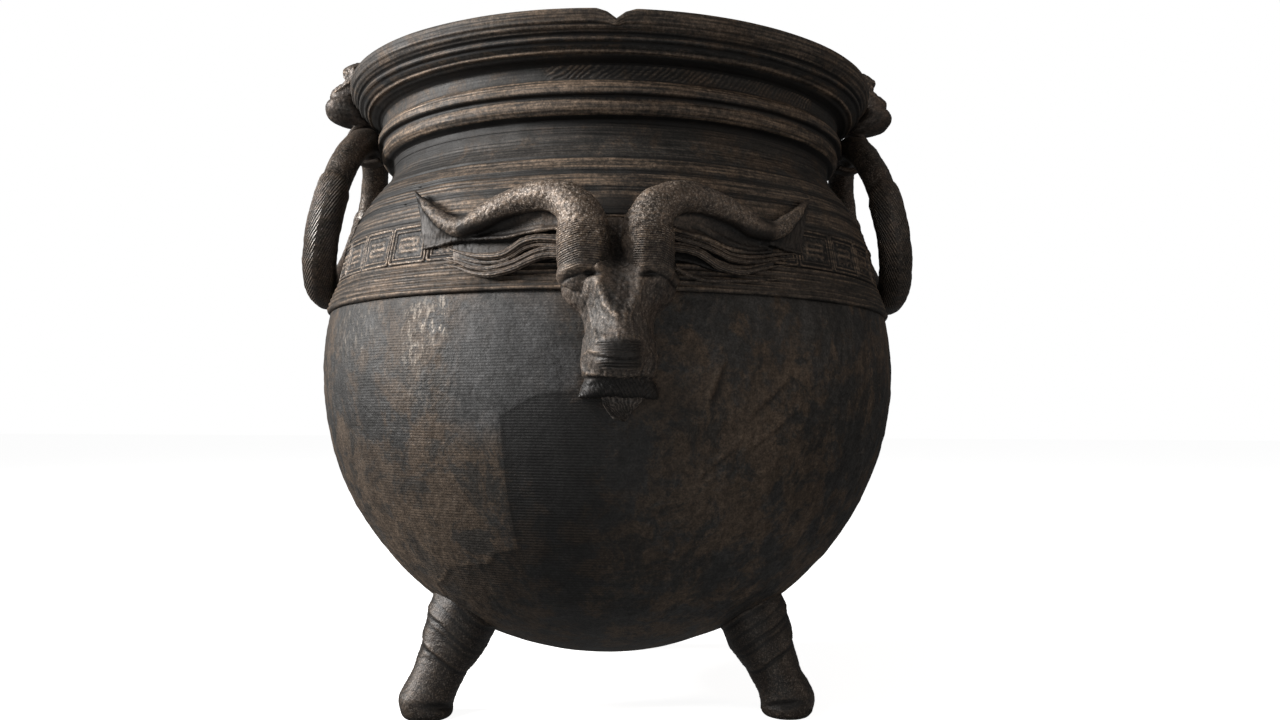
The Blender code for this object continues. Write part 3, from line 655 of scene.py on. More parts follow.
def masks_of_bowl(points, azimuth):
    """What each place of the bowl is."""
    height = points[..., 2]
    depth = patch_depth(azimuth, height)
    far_round = ease(np.abs(azimuth), 46, 66) * facing(height, 0.05, 0.31, 0.02)
    edge = bump(depth, -0.0035, 0.0028) * facing(azimuth, -60, -22, 3)
    tooled = facing(azimuth, -52, 2, 10) * facing(height, 0.10, 0.309, 0.012)
    inside_patch = ease(depth, 0, 0.002) * (1 - ease(azimuth, -9, 8)) * ease(height, 0.08, 0.12)
    creases = creases_at(azimuth, height)
    # painted light: tan lifts the lower left, where less light falls
    low_left = facing(azimuth, -75, -36, 8) * (1 - ease(height, 0.13, 0.20))
    # painted highlight and shade: wrinkle crests and crease ridges lighter, wrinkle valleys and crease
    # grooves darker
    leathery = facing(azimuth, 4, 62, 8) * facing(height, 0.10, 0.309, 0.02)
    folds = bump(wrinkled(azimuth, height, 0.0085, 8), 0, 0.26) * leathery
    ridges = ease(np.abs(wrinkled(azimuth, height, 0.0085, 8)), 0.9, 2.0) * leathery
    shade = 0.38 * facing(azimuth, -95, -38, 8) * (0.35 + 0.65 * ease(height, 0.13, 0.20))
    shade = shade + 0.15 * facing(azimuth, -38, -4, 5) + spots(azimuth, height, SHADE_SPOTS)
    # painted light: the dark patch also fades towards the bottom, which lightens the shaded underside
    patch_fades = ease(azimuth, -12, 14) + 0.85 * (1 - ease(height, 0.06, 0.17))
    masks = {
        "sheen": spots(azimuth, height, SHEEN_SPOTS), "bloom": spots(azimuth, height, BLOOM_SPOTS),
        "earth": spots(azimuth, height, EARTH_SPOTS) + 0.7 * far_round,
        "patch": np.clip(0.5 + depth / 0.012, 0, 1), "patch_fades": np.clip(patch_fades, 0, 1),
        "worn": 0.5 * edge + 0.5 * np.clip(creases, 0, 1) + 0.16 * ridges + 0.26 * low_left,
        "tooled": np.maximum(0.60 * tooled, inside_patch),
        "rough": 1 - 0.6 * facing(azimuth, -26, 6, 4), "grain": 0.3 + 0 * azimuth,
        "hollow": shade + 0.6 * np.clip(-creases, 0, 1) + 0.34 * folds,
        "drips": 0.35 + 0.65 * ease(np.abs(azimuth + 8), 22, 42),
    }
    return {mask: values * bowl_outside for mask, values in masks.items()}


bowl_azimuth = (bowl_degrees + 180) % 360 - 180 + 0 * bowl_points[..., 2]
bowl_masks = masks_of_bowl(bowl_points, bowl_azimuth)
bowl = shown(
    "cauldron_bowl", bowl_mesh, "cauldron", "dark_bronze", ["cauldron_body"],
    **{mask: np.append(values.ravel(), [0, 0]) for mask, values in bowl_masks.items()},
)

# %% [markdown]
# ## The slanting strokes in the cove
# Under the rim a narrow band of slanting strokes, like a twisted rope, runs along the front and the right.
# It is cut much finer than the rest of the neck, so it is a thin strip of its own that sinks into the cove
# at its edges. A ridge of it is a cosine of the distance across the strokes.

# %% Cove strokes
STROKES_LOW, STROKES_HIGH = 0.4593, 0.4702
STROKES_LEFT, STROKES_RIGHT = -17.0, 54.0
STROKE_PITCH = 0.0034
STROKE_SLANT = np.radians(38)
STROKE_HEIGHT = 0.00060
cove_rise = np.linspace(STROKES_LOW, STROKES_HIGH, 20)[None, :]
cove_turns = np.linspace(STROKES_LEFT, STROKES_RIGHT, 400)[:, None]
cove_radius = wall_radius(cove_rise) + 0 * cove_turns
cove_flat = about_axis(cove_radius, np.radians(cove_turns), cove_rise)
along_cove = np.radians(cove_turns) * 0.1922 * (1 + 0.006 * np.maximum(cove_turns, 0))
across_strokes = along_cove * np.sin(STROKE_SLANT) - (cove_rise - 0.4645) * np.cos(STROKE_SLANT)
stroke_phase = 2 * np.pi * across_strokes / STROKE_PITCH + 2.0 * waves(cove_flat, 0.020, 7)
stroke_wave = np.cos(stroke_phase + 0.5 * waves(cove_flat, 0.007, 15))
inside_cove = facing(cove_rise, 0.4602, 0.4693, 0.0006) * facing(cove_turns, -14, 51, 2)
stroke_ridges = (0.5 + 0.5 * stroke_wave) * inside_cove * (0.7 + 0.3 * waves(cove_flat, 0.03, 14))
cove_radius = cove_radius + swelling(cove_flat) - 0.00035 + 0.00045 * inside_cove
cove_radius = cove_radius + STROKE_HEIGHT * stroke_ridges
cove_radius = cove_radius - 0.0012 * (1 - facing(cove_turns, -15.8, 52.8, 0.8))
cove_back = cove_radius[:, [-1, 0]] - 0.0015
cove_loop = np.concatenate([cove_radius, cove_back], 1)
cove_level = np.concatenate([cove_rise[0], [STROKES_HIGH, STROKES_LOW]])[None, :]
cove_points = about_axis(cove_loop, np.radians(cove_turns), cove_level)
cove_worn = np.pad(stroke_ridges, ((0, 0), (0, 2))).ravel()
cove_mesh = mesh_from("cove_strokes", [capped(cove_points)])
cove_strokes = shown(
    "cove_strokes", cove_mesh, "cauldron", "dark_bronze", ["cauldron_body"],
    worn=np.append(0.28 * cove_worn, [0, 0]), hollow=np.append(0.75 * (1 - cove_worn), [0, 0]),
    grain=np.full(cove_worn.size + 2, 0.8),
)

# %% [markdown]
# ## The fret band
# Thirty-six square panels run round the shoulder's foot. Each has a raised frame with rounded corners, a
# narrow dark groove to its neighbours, a thinner square line inside and a field of hooked strokes on pitted
# ground. They could be cut with Booleans, but every edge is parallel to the frame, so the height at a point
# depends only on its distance from the panel's edge, and grid lines that fall on the edges keep them crisp.

# %% One panel's lines
PANELS = 36
FRET_LOW, FRET_HIGH = 0.3332, 0.3616
PANEL_HALF = 0.0193
ROW_HALF = (FRET_HIGH - FRET_LOW) / 2
# grid lines stand at these distances from a panel's edge, on the slopes of its two frames
EDGES = np.array([0.0, 0.38, 0.72, 1.0, 2.0, 2.4, 3.0, 3.6, 4.0, 4.9, 5.3, 6.2]) / 1000
FRAME_HEIGHT, INNER_HEIGHT, HOOK_HEIGHT, PIT_DEPTH = 0.00145, 0.00100, 0.00075, 0.00034
HOOK_REACH, HOOK_RISE = 0.0088, 0.0043
CORNER = 0.003


def lines_across(half, step):
    """Grid lines from one edge of a panel to the other: at the frame's edges, and evenly between them."""
    inside = half - EDGES[-1]
    middle = np.linspace(-inside, inside, round(2 * inside / step) + 1)
    return np.concatenate([EDGES[:-1] - half, middle, half - EDGES[-2::-1]])


def hook(across, up):
    """The distance to a squared S of five strokes, about half the field high."""
    reach, rise = HOOK_REACH, HOOK_RISE
    strokes = [
        ((-reach, rise), (reach, rise)), ((reach, rise), (reach, 0)), ((reach, 0), (-reach, 0)),
        ((-reach, 0), (-reach, -rise)), ((-reach, -rise), (reach, -rise)),
    ]
    nearest = np.full(np.broadcast(across, up).shape, 1.0)
    for (x0, y0), (x1, y1) in strokes:
        dx = np.maximum(np.maximum(min(x0, x1) - across, across - max(x0, x1)), 0)
        dy = np.maximum(np.maximum(min(y0, y1) - up, up - max(y0, y1)), 0)
        nearest = np.minimum(nearest, np.hypot(dx, dy))
    return nearest


panel_x = lines_across(PANEL_HALF, 0.00120)[:-1]
panel_z = lines_across(ROW_HALF, 0.00105)[::-1]
fret_turns = ((np.arange(PANELS)[:, None] + 0.5 * panel_x / PANEL_HALF) * 2 * np.pi / PANELS).ravel()
panel_across = np.tile(panel_x, PANELS)[None, :]
panel_up = panel_z[:, None]
from_edge = np.minimum(PANEL_HALF - np.abs(panel_across), ROW_HALF - np.abs(panel_up))
past_corner = np.hypot(
    np.maximum(0, np.abs(panel_across) - (PANEL_HALF - CORNER)),
    np.maximum(0, np.abs(panel_up) - (ROW_HALF - CORNER)),
)
from_edge = np.where(past_corner > 0, np.minimum(from_edge, CORNER - past_corner), from_edge)

# %% The band of panels
frame_bar = bar(from_edge, 0.00040, 0.0024, 0.0004)
inner_bar = bar(from_edge, 0.0036, 0.0053, 0.0004)
hooks = 1 - ease(hook(panel_across, panel_up), 0.0006, 0.0013)
field = ease(from_edge, 0.0055, 0.0062)
fret_height = np.broadcast_to(FRET_LOW + ROW_HALF + panel_up, from_edge.shape)
fret_base = np.interp(fret_height[:, 0], [0.3320, 0.3605], [0.22406, 0.21870])[:, None]
flat = about_axis(fret_base, fret_turns, fret_height)
pits = waves(flat, 0.0026, 11, 24)
rubbed = 0.75 + 0.25 * waves(flat, 0.05, 12)
fret_relief = FRAME_HEIGHT * frame_bar * rubbed + INNER_HEIGHT * inner_bar * rubbed
fret_relief += field * (HOOK_HEIGHT * hooks + PIT_DEPTH * pits) + 0.00010 * waves(flat, 0.006, 13)
fret_radius = fret_base + fret_relief
lower_edge, upper_edge = (np.full((1, fret_radius.shape[1]), radius) for radius in (0.2221, 0.2168))
radii = np.vstack([upper_edge, fret_radius, lower_edge, lower_edge - 0.0014, upper_edge - 0.0014])
top_z, low_z = FRET_HIGH + 0.0004, FRET_LOW - 0.0004
row_z = np.concatenate([[top_z], fret_height[:, 0], [low_z, low_z, top_z]])[:, None]
fret_points = about_axis(radii, fret_turns, row_z)
fret_mesh = mesh_from("fret_band", [ring_of(fret_points)])
fret_worn = 0.9 * frame_bar + 0.7 * inner_bar + field * (0.8 * hooks + 0.45 * ease(pits, 0.1, 0.9))
fret_worn = np.clip(fret_worn, 0, 1)
fret_hollow = np.clip(1 - frame_bar - inner_bar - field * (hooks + ease(pits, -0.4, 0.5)), 0, 1)
fret_azimuth = (np.degrees(fret_turns) + 180) % 360 - 180
# painted glints: bright specks on the frames and hooks of the lit left side only
fret_lit_glints = (frame_bar + 0.7 * inner_bar + 0.8 * field * hooks) * facing(fret_azimuth, -100, -25, 8)
fret_grain = np.full(fret_worn.shape, 0.3)
fret_masks = {"worn": fret_worn, "hollow": fret_hollow, "grain": fret_grain, "specks": 0.75 * fret_lit_glints}
fret_band = shown(
    "fret_band", fret_mesh, "cauldron", "dark_bronze", ["cauldron_body"],
    **{mask: np.pad(values, ((1, 3), (0, 0))).ravel() for mask, values in fret_masks.items()},
)

# %% [markdown]
# ## Casting forms together
# The ram's head is many forms run into one: face, horns, webs and the beds of the locks. A sculptor adds wax
# to wax and strokes the joins. Here each form is its own numpy surface, tucked into the wall behind it. A
# voxel remesh then fuses them as wax does, a little smoothing rounds the joins, loose crumbs are deleted, and
# the carving is pushed in or out along the normals, with its lines placed in shares of the face's length.

# %% Places on the wall, rods and sheets
FACE = 0.1110
CHIN_Z = 0.2393


def seat_radius(height):
    """The wall's radius without its steps: the mean at nine heights within 8 mm."""
    return sum(wall_radius(height + shift) for shift in np.linspace(-0.008, 0.008, 9)) / 9


def on_wall(across, up, proud):
    """A point from shares of the face's length: along the wall, up from the chin, and proud of it."""
    across, up, proud = np.broadcast_arrays(across, up, proud)
    level = CHIN_Z + up * FACE
    radius = seat_radius(level)
    return about_axis(radius + proud * FACE, across * FACE / radius, level)


def wall_shares(places):
    """Where places lie across and up in shares of the face's length, and their metres beyond the wall."""
    x, y, z = places.T
    wall = wall_radius(z)
    return np.arctan2(x, AXIS_Y - y) * wall / FACE, (z - CHIN_Z) / FACE, np.hypot(x, y - AXIS_Y) - wall


def rod(path, radii, sides, flatness=1.0):
    """A round or flattened rod: each ring is a cosine times one normal plus a sine times the other."""
    along = np.gradient(path, axis=0)
    along /= np.linalg.norm(along, axis=1)[:, None]
    out = (path - [0, AXIS_Y, 0]) * (1, 1, 0)
    first = np.cross(along, out)
    first /= np.linalg.norm(first, axis=1)[:, None]
    second = np.cross(first, along)
    turn = 2 * np.pi * np.arange(sides) / sides
    ring = (
        np.cos(turn)[None, :, None] * first[:, None]
        + flatness * np.sin(turn)[None, :, None] * second[:, None]
    )
    return capped(path[:, None] + np.reshape(radii, (len(path), -1, 1)) * ring)


def strand(stations, side=1, count=60, sides=16, flatness=1.0):
    """A rod through stations of across, up, proud and radius, all in shares of the face's length."""
    route = flowing(stations, count)
    path = on_wall(side * route[:, 0], route[:, 1], route[:, 2])
    return rod(path, np.clip(route[:, 3], 0.004, 1) * FACE, sides, flatness)


def sheet_between(top, base, thick, bulge, side=1, count=36):
    """A closed slab between two routes of across, up and proud: straight across, with a bulge."""
    upper, lower = flowing(top, count), flowing(base, count)
    share = np.linspace(0, 1, 18)[:, None, None]
    front = upper * (1 - share) + lower * share
    front[..., 2] += bulge * np.sin(np.pi * share[..., 0])
    back = front.copy()
    back[..., 2] -= thick
    loop = np.concatenate([front, back[::-1]], 0).transpose(1, 0, 2)
    return capped(on_wall(side * loop[..., 0], loop[..., 1], loop[..., 2]))


# %% Fusing, smoothing and carving
def fused(name, parts, voxel, smoothing):
    """One closed mesh from overlapping parts: a voxel remesh, then each vertex drawn to its neighbours."""
    rough = bpy.data.objects.new(name + "_rough", mesh_from(name + "_rough", parts))
    bpy.context.scene.collection.objects.link(rough)
    remesh = rough.modifiers.new("fuse", "REMESH")
    remesh.mode = "VOXEL"
    remesh.voxel_size = voxel
    graph = bpy.context.evaluated_depsgraph_get()
    mesh = bpy.data.meshes.new_from_object(rough.evaluated_get(graph))
    mesh.name = name
    bpy.data.objects.remove(rough)
    keep_largest(mesh)
    rounded = stroked(coordinates(mesh), edges_of(mesh), smoothing)
    mesh.vertices.foreach_set("co", rounded.astype(np.float32).ravel())
    mesh.update()
    return mesh


def keep_largest(mesh):
    """Deletes loose crumbs: the lowest vertex number is passed along the edges, so each island shares one."""
    pairs = edges_of(mesh)
    island = np.arange(len(mesh.vertices))
    settled = False
    while not settled:
        lowest = island.copy()
        np.minimum.at(lowest, pairs[:, 0], island[pairs[:, 1]])
        np.minimum.at(lowest, pairs[:, 1], island[pairs[:, 0]])
        lowest = lowest[lowest]
        settled = np.array_equal(lowest, island)
        island = lowest
    crumbs = np.flatnonzero(island != np.bincount(island).argmax())
    shape = bmesh.new()
    shape.from_mesh(mesh)
    shape.verts.ensure_lookup_table()
    bmesh.ops.delete(shape, geom=[shape.verts[number] for number in crumbs], context="VERTS")
    shape.to_mesh(mesh)
    shape.free()
    print(mesh.name, len(crumbs), "loose vertices deleted")


def edges_of(mesh):
    """The pairs of vertices that share an edge."""
    pairs = np.empty(len(mesh.edges) * 2, np.int32)
    mesh.edges.foreach_get("vertices", pairs)
    return pairs.reshape(-1, 2)


def stroked(values, pairs, passes):
    """Values on vertices drawn half way to the mean of their neighbours, as often as asked."""
    values = np.array(values, float)
    flat = values.reshape(len(values), -1)
    count = np.bincount(pairs.ravel(), minlength=len(flat))[:, None]
    for _ in range(passes):
        total = np.zeros_like(flat)
        for column in range(flat.shape[1]):
            total[:, column] = np.bincount(pairs[:, 0], flat[pairs[:, 1], column], len(flat))
            total[:, column] += np.bincount(pairs[:, 1], flat[pairs[:, 0], column], len(flat))
        flat = flat / 2 + total / count / 2
    return flat.reshape(values.shape)


def pushed(mesh, heights):
    """Moves each vertex along its normal by its own height."""
    places = coordinates(mesh) + heights[:, None] * coordinates(mesh, "normal")
    mesh.vertices.foreach_set("co", places.astype(np.float32).ravel())
    mesh.update()


def rubbed_and_sunk(mesh, passes, size):
    """How far each vertex stands out from its softened surroundings: 0 to 1 for ridges, and for hollows."""
    places, pairs = coordinates(mesh), edges_of(mesh)
    proud = ((places - stroked(places, pairs, passes)) * coordinates(mesh, "normal")).sum(1)
    return ease(proud, 0.10 * size, size), ease(-proud, 0.15 * size, 1.2 * size)


# %% [markdown]
# ### The ram's face
# The face is a stack of sections from under the chin to the poll. Each is half a superellipse: squarer at the
# jaw, round at the muzzle and ridged at the brow. The nose pad stands proud and the forehead sinks between
# the roots of the horns.

# %% Face as stacked sections
MIDDLE_SHIFT = 0.0234
TUCKED = 0.0270
FACE_SECTIONS = [
    # up, half width, proud, squareness, pad, groove
    (0.006, 0.224, 0.185, 3.8, 0.000, 0.000), (0.020, 0.222, 0.200, 3.8, 0.000, 0.000),
    (0.085, 0.204, 0.218, 3.4, 0.000, 0.000), (0.108, 0.194, 0.238, 3.0, 0.000, 0.000),
    (0.138, 0.204, 0.296, 2.6, 0.016, 0.000), (0.230, 0.214, 0.335, 2.4, 0.050, 0.000),
    (0.320, 0.206, 0.335, 2.2, 0.030, 0.000), (0.400, 0.196, 0.330, 1.8, 0.000, 0.000),
    (0.500, 0.230, 0.32, 1.5, 0.000, 0.010), (0.580, 0.320, 0.31, 1.4, 0.000, 0.035),
    (0.700, 0.355, 0.30, 1.5, 0.000, 0.068), (0.820, 0.335, 0.25, 1.7, 0.000, 0.088),
    (0.920, 0.260, 0.14, 2.0, 0.000, 0.045), (1.000, 0.210, 0.085, 2.0, 0.000, 0.020),
    (1.075, 0.130, 0.030, 2.0, 0.000, 0.000),
]


def face_surface():
    """Sections from jaw to poll: the rise at a share of the half width is (1 - share^n)^(1/n)."""
    levels = flowing(FACE_SECTIONS, 130)
    up, half, proud, square, pad, groove = (column[:, None] for column in levels.T)
    share = np.sin(np.linspace(-np.pi / 2, np.pi / 2, 70))[None, :]
    rise = np.clip(1 - np.abs(share) ** square, 0, 1) ** (1 / square)
    raised = pad * (1 - ease(np.abs(share), 0.28, 0.72)) - groove * bump(share, 0, 0.20)
    arched = up + 0.024 * bump(share, -0.25, 0.55) * (1 - ease(up, 0.0, 0.060))
    front = on_wall(MIDDLE_SHIFT + share * half, arched, rise * (proud + TUCKED) - TUCKED + raised)
    back_share = np.array([[0.6, 0.2, -0.2, -0.6]])
    back = on_wall(MIDDLE_SHIFT + back_share * half, up, -TUCKED + 0 * half)
    return capped(np.concatenate([front, back], 1))


# %% [markdown]
# ### Horns and webs
# Each horn starts thick at the brow, arches over, runs down the wall and turns up to a sharp point. A thin
# sail of metal fills the angle under the point, and a sunk sheet closes the hollow under the arch, as a mould
# maker would leave it so that the casting comes out of its mould. Below it lies the sunk bed of the locks.

# %% Horns and what hangs from them
HORN = [
    # across, up, proud and the rod's radius; the routes below have no radius
    (0.190, 0.66, 0.070, 0.120), (0.178, 0.80, 0.155, 0.150), (0.165, 0.91, 0.205, 0.152),
    (0.172, 1.01, 0.230, 0.140), (0.215, 1.10, 0.235, 0.118), (0.295, 1.16, 0.220, 0.100),
    (0.395, 1.18, 0.195, 0.088), (0.520, 1.165, 0.160, 0.080), (0.665, 1.115, 0.125, 0.073),
    (0.810, 1.050, 0.100, 0.064), (0.950, 1.035, 0.085, 0.057), (1.110, 1.130, 0.070, 0.046),
    (1.335, 1.330, 0.065, 0.004),
]
HORN_POINT = [(0.90, 1.00, 0.080), (1.00, 1.03, 0.080), (1.11, 1.11, 0.072), (1.31, 1.30, 0.064)]
WEB_FOOT = [(0.88, 0.960, 0.055), (1.00, 0.958, 0.032), (1.12, 0.942, 0.014), (1.245, 0.932, 0.008)]
ARCH_UNDERSIDE = [
    (0.22, 1.04, 0.200), (0.36, 1.11, 0.168), (0.52, 1.10, 0.122), (0.70, 1.045, 0.098),
    (0.90, 0.99, 0.075),
]
HOLLOW_FOOTS = {
    -1: [
        (0.22, 0.975, 0.178), (0.35, 0.984, 0.136), (0.50, 0.971, 0.096), (0.65, 0.951, 0.075),
        (0.90, 0.957, 0.058),
    ],
    1: [
        (0.22, 0.990, 0.170), (0.33, 0.979, 0.146), (0.51, 0.946, 0.108), (0.60, 0.918, 0.088),
        (0.68, 0.895, 0.076), (0.81, 0.888, 0.064), (0.97, 0.911, 0.050),
    ],
}
BED_TOP = [(0.22, 1.00, 0.070), (0.50, 0.98, 0.045), (0.75, 0.955, 0.026), (1.02, 0.955, 0.004)]
BED_FOOT = [(0.22, 0.835, 0.058), (0.45, 0.805, 0.036), (0.70, 0.755, 0.018), (1.02, 0.820, 0.002)]


def horn_side(side):
    """Everything that belongs to one horn."""
    thin = [station + (0.014,) for station in HOLLOW_FOOTS[side]]
    foot = [(across, up, proud, 0.012) for across, up, proud in WEB_FOOT]
    forms = [strand(HORN, side, 150, 32), strand(thin, side, sides=10), strand(foot, side, sides=10)]
    forms.append(sheet_between(HORN_POINT, WEB_FOOT, 0.075, -0.004, side))
    forms.append(sheet_between(ARCH_UNDERSIDE, HOLLOW_FOOTS[side], 0.120, -0.020, side))
    forms.append(sheet_between(BED_TOP, BED_FOOT, 0.060, 0.0, side))
    return forms


HEAD_VOXEL = 0.00100
head_parts = [face_surface()]
for side in (-1, 1):
    head_parts += horn_side(side)
head_mesh = fused("rams_head", head_parts, HEAD_VOXEL, 2)
print("ram's head", len(head_mesh.vertices), "vertices")

# %% [markdown]
# ### Carving the head
# A line of carving is a stroke: the height falls off as a bell with the distance from a short path, given in
# the same shares as the forms. The brows fold in arcs over the eyes, the horns' roots carry close ridges, the
# nose pad is rippled, a dark line parts the mouth from the jaw, and the whole is left grainy.

# %% Strokes
head_places = coordinates(head_mesh)
head_across, head_up, head_beyond = wall_shares(head_places)
head_proud = head_beyond / FACE


def stroke(path, width, mirrored=False):
    """A bell of the distance to a path of across and up, on both sides of the face if mirrored."""
    path = flowing(path, 24)
    across = np.abs(head_across - MIDDLE_SHIFT) if mirrored else head_across
    start, span = path[:-1], np.diff(path, axis=0)
    nearest = np.full(len(head_across), 9.0)
    for (x, y), (dx, dy) in zip(start, span):
        share = np.clip(((across - x) * dx + (head_up - y) * dy) / (dx * dx + dy * dy), 0, 1)
        nearest = np.minimum(nearest, np.hypot(across - x - share * dx, head_up - y - share * dy))
    return bump(nearest, 0, width)


STROKES = [
    # path in shares, width in shares, height in millimetres, and whether it is on both sides
    ([(0.110, 0.738), (0.190, 0.742), (0.270, 0.722), (0.335, 0.690)], 0.028, 1.5, True),
    ([(0.125, 0.700), (0.185, 0.700), (0.250, 0.682), (0.345, 0.645)], 0.010, -0.9, True),
    ([(0.105, 0.692), (0.135, 0.702), (0.165, 0.700)], 0.014, -1.4, True),
    ([(0.150, 0.660), (0.230, 0.640), (0.290, 0.600)], 0.012, 0.35, True),
    (
        [(0.105, 0.930), (0.112, 0.825), (0.110, 0.725), (0.092, 0.600), (0.060, 0.510), (0.018, 0.452)],
        0.024, 1.8, True,
    ),
    ([(0.200, 0.600), (0.175, 0.500), (0.165, 0.400), (0.160, 0.320)], 0.012, -0.7, True),
    ([(0.118, 0.252), (0.150, 0.262), (0.185, 0.245), (0.200, 0.200), (0.178, 0.150)], 0.008, 0.8, True),
    ([(0.112, 0.240), (0.126, 0.215), (0.134, 0.190)], 0.010, -0.45, True),
    ([(-0.090, 0.312), (0.020, 0.326), (0.125, 0.312)], 0.010, -0.80, False),
    ([(-0.080, 0.226), (0.015, 0.206), (0.080, 0.207), (0.118, 0.224)], 0.008, -0.90, False),
    ([(-0.080, 0.182), (0.020, 0.172), (0.112, 0.184)], 0.007, -0.35, False),
    (
        [(0.330, 1.060), (0.412, 1.042), (0.543, 1.005), (0.668, 0.949), (0.777, 0.922), (0.922, 0.928)],
        0.009, 0.7, False,
    ),
    ([(0.430, 1.010), (0.520, 0.982), (0.620, 0.938), (0.720, 0.912)], 0.008, -0.6, False),
    ([(-0.400, 1.005), (-0.500, 1.000), (-0.640, 0.985), (-0.800, 0.975)], 0.008, 0.6, False),
    ([(-0.140, 0.138), (0.022, 0.128), (0.190, 0.138)], 0.008, 0.6, False),
    ([(-0.180, 0.122), (-0.070, 0.112), (0.022, 0.109), (0.116, 0.112), (0.222, 0.122)], 0.009, -0.9, False),
]
BROW_LINES = [
    ([(0.095, up), (0.200, up + 0.004), (0.335, up - 0.026)], 0.0070, -0.55 + 0.30 * (up > 0.84), True)
    for up in np.arange(0.772, 0.92, 0.0205)
]
carving = sum(
    height_mm / 1000 * stroke(path, width, both) for path, width, height_mm, both in STROKES + BROW_LINES
)
off_middle = np.abs(head_across - MIDDLE_SHIFT)
on_column = (
    facing(off_middle, 0.05, 0.31, 0.02) * facing(head_up, 0.84, 1.04, 0.03) * ease(head_proud, 0.10, 0.16)
)
level_furrows = waves(head_places * (1, 1, 3.4), 0.0062, 25, 26)
upright_furrows = waves(head_places * (3.0, 1, 1), 0.0070, 26, 26)
on_horn = ease(head_up, 0.84, 0.92) * ease(head_proud, 0.03, 0.08)
on_face = 1 - ease(head_up, 0.60, 0.70)
on_chin = facing(head_up, 0.00, 0.105, 0.012) * ease(head_proud, 0.05, 0.12)
on_pad = facing(head_up, 0.165, 0.325, 0.020) * facing(off_middle, -0.1, 0.100, 0.030)
chin_lines = np.cos(2 * np.pi * (off_middle - 0.8 * head_up) / 0.022) * ease(off_middle, 0.09, 0.15)
pad_lines = np.cos(
    2 * np.pi * (head_up + 0.15 * head_across**2) / 0.0150 + 0.8 * waves(head_places, 0.015, 27)
)
on_web = (
    facing(off_middle, 0.90, 1.35, 0.03) * facing(head_up, 0.90, 1.30, 0.02)
    * (1 - ease(head_proud, 0.075, 0.10))
)
in_hollow = (
    facing(off_middle, 0.30, 0.92, 0.04) * facing(head_up, 0.955, 1.10, 0.02)
    * (1 - ease(head_proud, 0.135, 0.175))
)
smooth_part = np.clip(on_web + in_hollow, 0, 1)
grainy = waves(head_places, 0.0036, 22, 28) * 0.55 + waves(head_places, 0.0024, 23, 28) * 0.45
carving += (
    0.00034 * on_column * level_furrows + on_chin * (0.00038 * chin_lines + 0.00030 * grainy)
    + 0.00030 * on_pad * pad_lines
)
carving += (
    0.00024 * on_web * upright_furrows + 0.00026 * on_face * (1 - on_pad) * (1 - on_chin) * upright_furrows
)
carving += grainy * (0.00022 * on_horn * (1 - 0.5 * on_column) * (1 - smooth_part) + 0.00010)
carving += 0.00030 * grainy * bump(head_across, MIDDLE_SHIFT, 0.07) * facing(head_up, 0.48, 1.10, 0.04)
carving += 0.0004 * waves(head_places, 0.018, 24) * ease(head_proud, 0.02, 0.08)
pushed(head_mesh, carving * ease(head_beyond, -0.001, 0.0015))
rubbed_edges, cavity = rubbed_and_sunk(head_mesh, 14, 0.00060)

# %% Masks of the head
BROW_PITCH, PAD_PITCH, CHIN_PITCH = 0.0125, 0.0180, 0.0200
brow_lined = (
    facing(off_middle, 0.07, 0.345, 0.02) * facing(head_up, 0.745, 0.985, 0.03) * ease(head_proud, 0.06, 0.12)
)
pad_lined = (
    on_pad * facing(head_up, 0.250, 0.322, 0.006) + 0.7 * on_pad * facing(head_up, 0.160, 0.200, 0.006)
)
chin_lined = 0.8 * on_chin * facing(head_across, -0.10, 0.16, 0.04)
brow_phase = (head_up + 0.35 * np.maximum(off_middle - 0.2, 0)) / BROW_PITCH
head_phase = np.where(head_up > 0.6, brow_phase, head_up / PAD_PITCH)
head_phase = np.where(head_up < 0.11, (head_across + 0.55 * head_up) / CHIN_PITCH, head_phase)
below_locks = (
    facing(off_middle, 0.26, 0.62, 0.05) * facing(head_up, 0.70, 0.86, 0.03)
    * (1 - ease(head_proud, 0.03, 0.08))
)
under_brow = 0.45 * stroke([(0.120, 0.694), (0.185, 0.697), (0.250, 0.678), (0.338, 0.642)], 0.014, True)
under_brow = under_brow + 0.6 * stroke([(0.105, 0.692), (0.135, 0.702), (0.165, 0.700)], 0.016, True)
in_groove = (
    bump(head_across, MIDDLE_SHIFT, 0.045 + 0.03 * ease(head_up, 0.55, 0.85))
    * facing(head_up, 0.52, 1.10, 0.05)
)
bed = (
    facing(off_middle, 0.24, 1.00, 0.03) * facing(head_up, 0.74, 0.97, 0.02)
    * (1 - ease(head_proud, 0.070, 0.10))
)
dark_chin = 0.66 + 0.26 * ease(head_up, 0.055, 0.085) + 0.2 * ease(-chin_lines, 0, 1)
# painted shade in the hollow under each horn's arch, below the locks, under the brows and on the locks' sunk
# bed; the forehead groove, chin, pad, face and webs are darkened too
dark_and_shaded_places = in_hollow * (0.35 + 0.45 * ease(off_middle, 0.35, 0.75)) + below_locks + under_brow
dark_and_shaded_places = dark_and_shaded_places + 0.75 * in_groove + 0.75 * bed + on_chin * dark_chin + 0.62 * on_pad
dark_and_shaded_places = dark_and_shaded_places + 0.20 * on_face + 0.74 * on_web
dark_and_shaded_places = dark_and_shaded_places + 0.40 * (1 - ease(head_across, -0.98, -0.82)) * on_horn
lit_share = 1 - np.clip(dark_and_shaded_places, 0, 1)
# painted shade: less tan on the head's right side, away from the light
right_side = ease(head_across, 0.10, 0.35)
head_wear_and_light = 0.30 - 0.14 * on_face + 0.32 * on_horn - 0.28 * right_side + 0.9 * rubbed_edges
head_dirt_and_shade = np.clip(cavity + dark_and_shaded_places + 0.5 * ease(-grainy, 0.3, 1.3) * (1 - smooth_part), 0, 1)
head_specks = np.clip(0.25 + 0.6 * on_horn + 0.1 * on_face - smooth_part, 0, 1)
